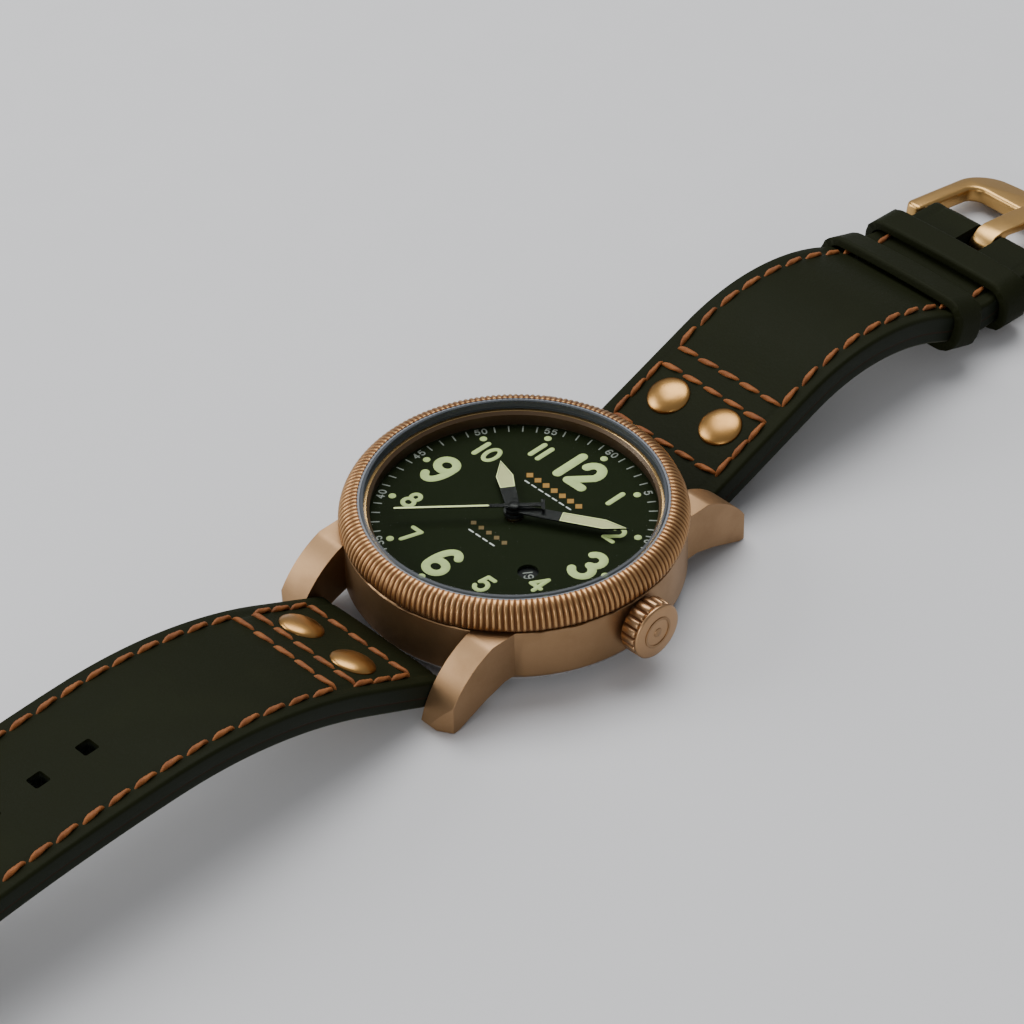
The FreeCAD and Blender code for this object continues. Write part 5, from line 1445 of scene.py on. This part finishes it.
@dataclass
class Hands:
    """Hour, minute and seconds hands, with thin bright borders round the luminous fills."""

    hour: float = 304.5
    minute: float = 61.0
    second: float = 223.0
    paint_rise: float = 0.03
    stripe_depth: float = 0.06

    def border(self, name: str, body: str, half_widths: Sequence[Point], clock: float, height: float) -> None:
        """A thin wire of paint round a fill.

        Args:
            name: the piece's name.
            body: the body it rides on.
            half_widths: half width and distance out at each corner, inner end first.
            clock: the hand's clock angle in degrees.
            height: the paint's height.
        """
        corners = [(w, d) for w, d in half_widths] + [(-w, d) for w, d in reversed(half_widths) if w]
        turn = math.radians(-clock)
        laid = [(x * math.cos(turn) - y * math.sin(turn), x * math.sin(turn) + y * math.cos(turn)) for x, y in corners]
        wire = Brush.stroke(name, laid, 0.16, True, 0.05)
        wire.data.transform(Matrix.Translation((0, 0, height * MM)))
        Bench.merge(wire, 1e-7)
        show(LUME_EDGE.on(Bench.smooth(wire, 50)), body, "lume")

    def needle(self) -> None:
        """Luminous stripe along the outer part of the seconds hand."""
        turn = math.radians(-self.second)
        out = Vector((-math.sin(turn), math.cos(turn)))
        stripe = Brush.stroke("seconds_stripe", [tuple(out * 3.2), tuple(out * 14.5)], 0.34, False, 0.07)
        stripe.data.transform(Matrix.Translation((0, 0, (extent("seconds_hand") - self.stripe_depth) * MM)))
        show(LUME_EDGE.on(Bench.smooth(stripe, 50)), "seconds", "lume")

    def cap(self) -> None:
        """Domed cap over the seconds hand's post."""
        top = extent("seconds_hand")
        button = Turned("seconds_cap", [(0.0, top + 0.13), (0.35, top + 0.12), (0.6, top + 0.07), (0.72, top - 0.01),
                                        (0.72, top - 0.11), (0.0, top - 0.11)], 40).make()
        show(HAND_BLACK.on(button), "seconds", "hand_black")

    def make(self) -> None:
        """Dresses the hands and adds their borders."""
        dress(HAND_BLACK, "hour_hand", "minute_hand", "seconds_hand")
        dress(HAND_LUME, "hour_lume", "minute_lume")
        self.border("hour_lume_border", "hours", ((0.86, 4.72), (1.0, 6.85), (0.0, 9.75)), self.hour,
                    extent("hour_lume") + self.paint_rise)
        self.border("minute_lume_border", "minutes", ((0.74, 6.02), (0.78, 11.39), (0.0, 14.1)), self.minute,
                    extent("minute_lume") + self.paint_rise)
        self.needle()
        self.cap()


# ---------------------------------------------------------------- keepers, buckle and movement

@dataclass
class Keepers:
    """Two leather loops round the short strap half."""

    ribbon: Ribbon
    places: tuple[tuple[str, str, float], ...] = (("keeper_free", "free_keeper", 49.2),
                                                  ("keeper_fixed", "strap_short", 58.8))
    inner: Point = (11.3, 2.45)
    wall: float = 1.15
    width: float = 4.6

    def loop(self) -> bpy.types.Object:
        """One loop: a rounded sleeve whose ends are opened, thickened and rounded."""
        wide, high, half = self.inner[0] * MM, self.inner[1] * MM, self.width / 2 * MM
        piece = Bench.block("keeper", (-wide, -half, -high), (wide, half, high))
        Bench.bevel(piece, 1.95 * MM, 7, lambda a, b: abs(a.y - b.y) > MM)
        Bench.select(piece, Pick.FACES, lambda face: abs(face.normal.y) > 0.9)
        bpy.ops.mesh.delete(type="FACE")
        Bench.select(piece, Pick.EDGES, lambda a, b: abs(a.y - b.y) > MM or abs(a.x - b.x) > 5 * MM)
        bpy.ops.mesh.subdivide(number_cuts=5)
        Bench.leave()
        Bench.modify(piece, "SOLIDIFY", thickness=self.wall * MM, offset=1, use_even_offset=True)
        Bench.merge(piece)
        Bench.bevel(piece, 0.42 * MM, 3, lambda a, b: self.is_rim(a, b, half))
        return piece

    def is_rim(self, a: Vector, b: Vector, half: float) -> bool:
        """Whether an edge runs along a loop's outer rim."""
        wide, high = ((reach + self.wall * 0.5) * MM for reach in self.inner)
        outside = all(abs(co.x) > wide or abs(co.z) > high for co in (a, b))
        return outside and all(abs(abs(co.y) - half) < 1e-6 for co in (a, b))

    def make(self) -> None:
        """Copies the loop to both places, with a little sag of its own each."""
        pattern = self.loop()
        for number, (node, body, distance) in enumerate(self.places):
            piece = Bench.copy(pattern, node + "_leather")
            swell = 0.35 if number == 0 else 0.25

            def rule(co: Vector) -> Vector:
                across = co.x / (12.45 * MM)
                return Vector((co.x, co.y, co.z + swell * MM * (1 - across * across) * (1 if co.z > 0 else 0.0)))

            Bench.reshape(piece, rule)
            piece.data.attributes.new("layer", "FLOAT", "POINT").data.foreach_set(
                "value", [1.0] * len(piece.data.vertices))
            piece.data.transform(self.ribbon.rigid(distance))
            Bench.smooth(piece, 50)
            show(LEATHER.on(piece), body, "leather", node)
        Bench.discard(pattern)


@dataclass
class Buckle:
    """Bowed frame and tongue with rounded edges, and the bar they turn on."""

    ribbon: Ribbon
    lean: float = -10.4
    half: float = 13.2
    window: float = 10.6
    near: float = -1.8
    far: float = 14.2
    window_far: float = 10.2
    bow: float = 1.4
    corner: float = 4.4
    window_corner: float = 1.8
    thick: float = 2.4
    tongue_half: float = 1.6

    def place(self) -> Matrix:
        """Where the buckle lies: at the end of the strap, leaning down."""
        out, height, _ = self.ribbon.at(self.ribbon.length)
        return Matrix.Translation((0, out * MM, height * MM)) @ Matrix.Rotation(math.radians(self.lean), 4, "X")

    def outline(self) -> list[Point]:
        """Plan of the frame: a U with a bowed far bar and rounded corners."""
        end, reach = 1.1, self.half - self.corner
        right = arc((self.half - end, self.near + end), (end, end), -90, 0, 6)
        right += [(self.half, y) for y in (2.0, 5.0, 8.0)]
        right += arc((reach, self.far - self.corner), (self.corner, self.corner), 0, 90, 14)
        right += [(x, self.far) for x in (7.0, 5.5, 4.0, 2.5, 1.0)]
        inside = arc((self.window - self.window_corner, self.window_far - self.window_corner),
                     (self.window_corner, self.window_corner), 90, 0, 8)
        inside = [(x, self.window_far) for x in (1.0, 4.0, 7.0)] + inside
        inside += [(self.window, 4.0), (self.window, self.near)]
        left_out = [(-x, y) for x, y in reversed(right)]
        left_in = [(-x, y) for x, y in reversed(inside)]
        plan = right + left_out + left_in + inside
        bowed = []
        for x, y in plan:
            share = min(1.0, max(0.0, (y - 8.0) / (self.far - 8.0))) if abs(x) < self.half else 0.0
            inner = y <= self.window_far and abs(x) <= self.window
            bowed.append((x, y if inner else y + share * self.bow * (1 - (x / self.half) ** 2)))
        return bowed

    def bar_of(self, name: str, plan: Sequence[Sequence[float]], step: Sequence[float],
               width: float) -> bpy.types.Object:
        """A flat outline dragged into a bar, its edges rounded, laid in the buckle's place.

        Args:
            name: the piece's name.
            plan: the outline's corners in metres, in the buckle's own frame.
            step: how far it is dragged.
            width: the rounding of its edges, in millimetres.

        Returns:
            The finished piece.
        """
        piece = Bench.drag(Bench.section(name, plan), [step])
        Bench.soften(piece, width * MM, 4, 42, lambda a, b: True)
        Bench.merge(piece)
        piece.data.transform(self.place())
        return BUCKLE_GILT.on(Bench.smooth(piece, 40))

    def make(self) -> None:
        """Builds frame and tongue, and dresses the bar."""
        plan = [(x * MM, y * MM, -self.thick / 2 * MM) for x, y in self.outline()]
        frame_piece = self.bar_of("buckle_frame_bowed", plan, (0, 0, self.thick * MM), 0.62)
        show(frame_piece, "buckle", "gilt", "buckle_frame")
        side = arc((0, 0), (1.85, 1.85), 150, 395, 16)
        side += [(2.4, 1.42), (5, 1.3), (9, 1.28), (12.5, 1.3), (14.6, 1.4), (15.3, 1.6), (15.45, 1.9), (15.1, 2.2),
                 (14.2, 2.42), (12.0, 2.5), (8.0, 2.5), (4.0, 2.5), (1.0, 2.45), (-0.4, 2.1)]
        plan = [(-self.tongue_half * MM, y * MM, z * MM) for y, z in side]
        tongue = self.bar_of("buckle_tongue_rounded", plan, (self.tongue_half * 2 * MM, 0, 0), 0.38)
        show(tongue, "tongue", "gilt", "buckle_tongue")
        dress(BUCKLE_GILT, "buckle_bar")


@dataclass
class Movement:
    """The works inside: every solid stays and gets its finish."""

    finishes: dict[str, tuple[Finish, tuple[str, ...]]] = field(default_factory=lambda: {
        "plates": (RHODIUM, ("mainplate", "barrel_bridge", "train_bridge", "balance_cock", "pallet_bridge",
                             "rotor_weight")),
        "steel wheels": (STEEL, ("ratchet_wheel", "crown_wheel", "escape_wheel", "barrel_arbor", "rotor_bearing")),
        "steel parts": (RIM_STEEL, ("winding_pinion", "sliding_pinion", "setting_lever", "center_pinion",
                                    "cannon_pinion", "third_pinion", "fourth_pinion", "pallet_fork")),
        "wheels": (BRASS, ("barrel_drum", "barrel_cover", "center_wheel", "third_wheel", "fourth_wheel",
                           "minute_wheel", "hour_wheel", "balance_wheel")),
        "blued": (BLUED, ("bridge_screws", "hairspring", "mainspring")),
        "jewels": (RUBY, ("bearing_jewels",)),
        "holder": (NYLON, ("movement_ring",)),
    })

    def make(self) -> None:
        """Dresses every group."""
        for group, (finish, nodes) in self.finishes.items():
            dress(finish, *nodes)
            LOG.info("%-24s %6d solids dressed", group, len(nodes))


# ---------------------------------------------------------------- stage

@dataclass
class Studio:
    """Pale floor, soft lights and the camera."""

    azimuth: float = 46.463
    elevation: float = 40.153
    roll: float = -1.202
    aim_height: float = field(default_factory=lambda: extent("dial"))
    offset: tuple[float, float, float] = (0.28, -0.544, -489.9)
    lens: float = 141.35

    def camera(self) -> None:
        """A long lens from the lower right, looking down at the dial."""
        turn, lift = math.radians(self.azimuth), math.radians(self.elevation)
        back = Vector((math.sin(turn) * math.cos(lift), -math.cos(turn) * math.cos(lift), math.sin(lift)))
        right = Vector((math.cos(turn), math.sin(turn), 0))
        up = back.cross(right)
        lean = math.radians(self.roll)
        across = right * math.cos(lean) + up * math.sin(lean)
        above = up * math.cos(lean) - right * math.sin(lean)
        x, y, z = self.offset
        eye = Vector((0, 0, self.aim_height)) - (across * x + above * y + back * z)
        data = bpy.data.cameras.new("camera")
        data.lens = self.lens
        data.sensor_width = 36
        data.clip_start, data.clip_end = 0.01, 20
        camera = bpy.data.objects.new("camera", data)
        bpy.context.scene.collection.objects.link(camera)
        place = Matrix((across, above, back)).transposed().to_4x4()
        place.translation = eye * MM
        camera.matrix_world = place
        bpy.context.scene.camera = camera

    def floor(self) -> None:
        """A wide pale sheet just under the watch."""
        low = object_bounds()[0].z
        Bench.clear()
        bpy.ops.mesh.primitive_plane_add(size=6, location=(0, 0, low - 0.00002))
        sheet_floor = Bench.settle(Bench.named("floor"))
        Coat("floor_sheet", (0.60, 0.60, 0.61), (0.64, 0.64, 0.65), 0.5, 8.0, 0.0001).on(sheet_floor)
        sheet_floor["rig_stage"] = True

    def light(self, name: str, place: Sequence[float], aim: Sequence[float], size: Point, power: float,
              tint: Colour = (1, 1, 1)) -> None:
        """One soft box.

        Args:
            name: its name.
            place: where it stands, in metres.
            aim: the point it faces.
            size: its width and height in metres.
            power: its power in watts.
            tint: its colour.
        """
        data = bpy.data.lights.new(name, "AREA")
        data.shape = "RECTANGLE"
        data.size, data.size_y = size
        data.energy = power
        data.color = tint
        lamp = bpy.data.objects.new(name, data)
        bpy.context.scene.collection.objects.link(lamp)
        lamp.location = place
        lamp.rotation_euler = (Vector(aim) - Vector(place)).to_track_quat("-Z", "Y").to_euler()

    def air(self) -> None:
        """Even pale light from all round."""
        world = bpy.data.worlds.new("studio")
        bpy.context.scene.world = world
        world.use_nodes = True
        glow = world.node_tree.nodes["Background"]
        glow.inputs["Color"].default_value = (0.78, 0.80, 0.84, 1)
        glow.inputs["Strength"].default_value = 0.42

    def make(self) -> None:
        """Sets the stage."""
        self.floor()
        self.air()
        self.light("overhead", (-0.30, 0.30, 0.8), (0, 0, 0), (0.8, 0.6), 8.6)
        self.light("left", (-0.65, -0.45, 0.4), (0, 0, 0), (0.45, 0.5), 4.6)
        self.light("front", (0.35, -0.75, 0.30), (0, 0, 0.01), (0.5, 0.25), 2.2, (1.0, 0.97, 0.93))
        self.camera()


# ---------------------------------------------------------------- everything in order

LONG_RIBBON = Ribbon(-1, 26, 11.0, ((64.8, -26), (247.7, -18.3)))
SHORT_RIBBON = Ribbon(1, 19.5, 19.5, ((30.0, -19.5), (33.0, -27), (26.0, 24), (0.0, 11.1)))


def long_strap() -> LongStrap:
    """The six o'clock half with its places along the ribbon."""
    line = LONG_RIBBON
    end = line.length
    spot = line.distance_at
    return LongStrap("strap_6", "strap_long", line, 3.6,
                     ((0, 10.85), (spot(34), 10.85), (end - 14, 10.0), (end - 5.6, 7.2), (end - 1.5, 3.4), (end, 2.6)),
                     end, (spot(26.9), spot(35.3)), (spot(38.2), end - 14), 8.8)


def short_strap() -> ShortStrap:
    """The twelve o'clock half with its places along the ribbon."""
    line = SHORT_RIBBON
    spot = line.distance_at
    return ShortStrap("strap_12", "strap_short", line, 4.0,
                      ((0, 10.85), (spot(76), 10.85), (spot(83), 9.9), (line.length, 9.9)),
                      line.length, (spot(26.9), spot(35.8)), (spot(38.7), spot(82.5)), 9.1)


def main() -> None:
    """Builds the watch from the case outwards, then the stage."""
    logging.basicConfig(level=logging.INFO, format="%(message)s")
    for part in (Case(), Crown(), Dial(), Hands(), long_strap(), short_strap(), Keepers(SHORT_RIBBON),
                 Buckle(SHORT_RIBBON), Movement(), Studio()):
        part.make()
        LOG.info("done: %s", type(part).__name__)


if __name__ == "__main__":
    main()
